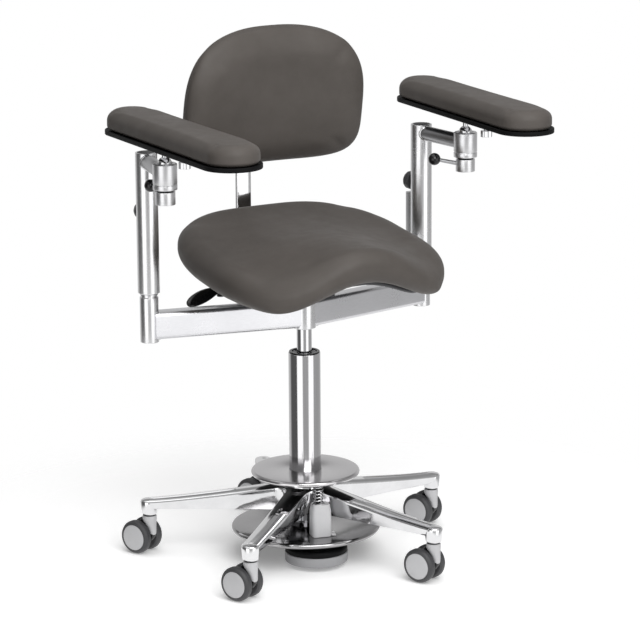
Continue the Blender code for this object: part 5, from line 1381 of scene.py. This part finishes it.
def buildCarriage():
    low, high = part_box("back_slider")
    hinge, barY, z = anchor("back_tilt"), high.y - carriage["behindBar"], (low.z + high.z) / 2
    near, far = hinge.y - carriage["earReach"], barY - carriage["earRoot"]
    slider = soften(block(carriage["size"], (0, barY, z)), 0.0040, 30, 4)
    piece("back_carriage", slider, darkMatt, "back_slider", ["back_slider"])
    ears = []
    for way in (-1, 1):
        size = (carriage["earWidth"], far - near, carriage["earHeight"])
        ears.append(soften(block(size, (way * carriage["earOut"], (near + far) / 2, z)), 0.0038, 30, 4))
    piece("hinge_ears", gather(*ears), darkMatt, "back_slider")
    pin = soften(plainRod(carriage["pinRadius"], -carriage["pinReach"], carriage["pinReach"], 40), 0.0010)
    piece("hinge_pin", put(pin, hinge, sideways), turnedSteel, "back_slider")
    knob = put(gripKnob(carriage), anchor("back_knob_turn"), axisOf("back_knob_turn"))
    piece("carriage_knob", knob, blackGloss, "back_knob", ["back_knob"])
    print("back carriage built")


# stage, light and camera

stage = {
    "floorRadius": 0.95, "floorSink": 0.0004, "fadeFrom": 0.50, "floorTone": 0.38, "floorGlow": 1.00,
    "lampAim": 0.5, "cameraTone": 0.52,
    "cameraGlow": -0.48, "shadeReach": 0.22, "shadeFrom": 0.30, "shadeTo": 0.98, "shadeLow": 0.40,
    "shadowPatchFrom": 0.09, "shadowPatchTo": 0.17, "mirrorGlow": 0.80, "mirrorFade": 0.42, "mirrorRadius": 0.56,
}
lamps = {
    "keyLamp": {"azimuth": -10, "elevation": 38, "distance": 3.2, "size": 2.6, "power": 82},
    "topLamp": {"azimuth": -100, "elevation": 84, "distance": 2.4, "size": 2.0, "power": 10},
}
surround = {
    "gap": 0.48, "dome": (0.07, 0.42), "domeBand": (-0.6, 0.9), "domeAzimuth": 5, "domeRise": 12,
    "floor": 1.0, "floorBand": (-0.36, -0.55), "above": 0.30, "aboveBand": (0.34, 0.50), "crown": 0.95,
    "crownBand": (0.70, 0.86), "soft": 3,
    "panels": (  # azimuth of the middle, half width, brightness
        (-63, 20, 1.60), (18, 19, 1.60), (-118, 33, 0.12), (61, 24, 0.46), (165, 55, 0.68),
    ),
}
photoView = {
    "azimuth": -29.2, "elevation": 13.4429, "distance": 5.6101, "target": (0.0297, 0, 0.4551),
    "roll": -0.0068, "lens": 168.75, "sensor": 36, "clipEnd": 50,
}


def emptyTree(owner):
    owner.use_nodes = True
    owner.node_tree.nodes.clear()
    return owner.node_tree


def outward(azimuth, elevation):
    a, e = math.radians(azimuth), math.radians(elevation)
    return Vector((math.sin(a) * math.cos(e), -math.cos(a) * math.cos(e), math.sin(e)))


def buildFloor():
    bm = bmesh.new()
    bmesh.ops.create_circle(bm, cap_ends=True, segments=96, radius=stage["floorRadius"])
    bmesh.ops.translate(bm, verts=bm.verts, vec=(column.x, column.y, -stage["floorSink"]))
    floor = linked("floor", meshOf("floor", bm))
    material = bpy.data.materials.new("paleFloor")
    tree = emptyTree(material)
    path = node(tree, "LightPath").outputs
    seen, mirrored = path["Is Camera Ray"], path["Is Glossy Ray"]
    centred = aboutColumn(tree, node(tree, "TexCoord").outputs["Object"])
    away = node(tree, "VectorMath", {"operation": "LENGTH"}, i0=centred).outputs["Value"]
    nearby = node(tree, "AmbientOcclusion", {"samples": 16}, Distance=stage["shadeReach"]).outputs["AO"]
    shade = ramp(tree, nearby, stage["shadeFrom"], stage["shadeTo"], stage["shadeLow"])
    glow = calc(tree, "MULTIPLY_ADD", seen, stage["cameraGlow"], stage["floorGlow"])
    ring = ramp(tree, away, stage["shadowPatchFrom"], stage["shadowPatchTo"], 0.0, stage["mirrorGlow"])
    # metal sees a painted shadow patch under the base, inside a white ring
    glow = blendValues(tree, mirrored, calc(tree, "MULTIPLY", glow, shade), ring)
    tone = calc(tree, "MULTIPLY_ADD", seen, stage["cameraTone"], stage["floorTone"])
    matte, light = node(tree, "BsdfDiffuse", Color=tone), node(tree, "Emission", Strength=glow)
    both = node(tree, "AddShader", i0=matte.outputs[0], i1=light.outputs[0])
    fade = ramp(tree, away, stage["fadeFrom"], stage["floorRadius"])
    rim = ramp(tree, away, stage["mirrorFade"], stage["mirrorRadius"])
    clear = node(tree, "BsdfTransparent")
    mix = node(
        tree, "MixShader", i0=blendValues(tree, mirrored, fade, rim), i1=both.outputs[0], i2=clear.outputs[0])
    node(tree, "OutputMaterial", Surface=mix.outputs[0])
    floor.data.materials.append(material)


def buildWorld():
    scene.world = bpy.data.worlds.new("studio")
    tree = emptyTree(scene.world)
    path = node(tree, "LightPath").outputs
    way = node(tree, "TexCoord").outputs["Generated"]
    parts = node(tree, "SeparateXYZ", i0=way).outputs
    azimuth = calc(tree, "ARCTAN2", parts["X"], calc(tree, "MULTIPLY", parts["Y"], -1.0))
    total = surround["gap"]
    for centre, half, bright in surround["panels"]:
        off = calc(tree, "WRAP", calc(tree, "SUBTRACT", azimuth, math.radians(centre)), math.pi, -math.pi)
        wide, soft = math.radians(half), math.radians(surround["soft"])
        level = bright - surround["gap"]
        panel = ramp(tree, calc(tree, "ABSOLUTE", off), wide + soft, wide - soft, 0.0, level)
        total = calc(tree, "ADD", panel, total)
    height = parts["Z"]
    overhead = ramp(tree, height, *surround["crownBand"], surround["above"], surround["crown"])
    total = blendValues(tree, ramp(tree, height, *surround["aboveBand"]), total, overhead)
    total = blendValues(tree, ramp(tree, height, *surround["floorBand"]), total, surround["floor"])
    mirrored = calc(tree, "MAXIMUM", path["Is Glossy Ray"], path["Is Transmission Ray"])
    forward = outward(surround["domeAzimuth"], surround["domeRise"])
    facing = node(tree, "VectorMath", {"operation": "DOT_PRODUCT"}, i0=way, i1=forward).outputs["Value"]
    dome = ramp(tree, facing, *surround["domeBand"], *surround["dome"])
    strength = blendValues(tree, mirrored, dome, total)
    strength = blendValues(tree, path["Is Camera Ray"], strength, 1.0)
    sky = node(tree, "Background", Color=(1, 1, 1, 1), Strength=strength)
    node(tree, "OutputWorld", Surface=sky.outputs[0])


def buildLamps():
    aim = Vector((column.x, column.y, stage["lampAim"]))
    for name, lamp in lamps.items():
        out = outward(lamp["azimuth"], lamp["elevation"])
        data = bpy.data.lights.new(name, "AREA")
        data.energy = lamp["power"]
        data.size = lamp["size"]
        item = linked(name, data)
        item.location = aim + out * lamp["distance"]
        item.rotation_euler = out.to_track_quat("Z", "Y").to_euler()


def buildCamera():
    rise, turn = math.radians(photoView["elevation"]), math.radians(photoView["azimuth"])
    behind = Vector((0, -math.cos(rise), math.sin(rise)))
    eye = Vector(photoView["target"]) + behind * photoView["distance"]
    up = behind.cross(sideways)
    c, s = math.cos(photoView["roll"]), math.sin(photoView["roll"])
    spun = Matrix.Rotation(turn, 3, "Z")
    columns = [spun @ (c * sideways + s * up), spun @ (c * up - s * sideways), spun @ behind]
    data = bpy.data.cameras.new("photoCamera")
    data.lens = photoView["lens"]
    data.sensor_width = photoView["sensor"]
    data.clip_end = photoView["clipEnd"]
    item = linked("photoCamera", data)
    basis = Matrix(columns).transposed().to_4x4()
    item.matrix_world = Matrix.Translation(spun @ eye + column) @ basis
    scene.camera = item
    scene.view_settings.view_transform = "Standard"


buildCamera()
buildFloor()
buildWorld()
buildLamps()
print("stage set")
buildCasters()
buildStar()
buildColumn()
buildDiscs()
buildBrake()
buildArmFrame()
for side in sides:
    buildSleeve(side)
    buildClamp(side)
    buildArmPad(side, *buildPadMount(side))
buildSeat()
buildCarrier()
buildBackrest()
buildBackBar()
buildCarriage()
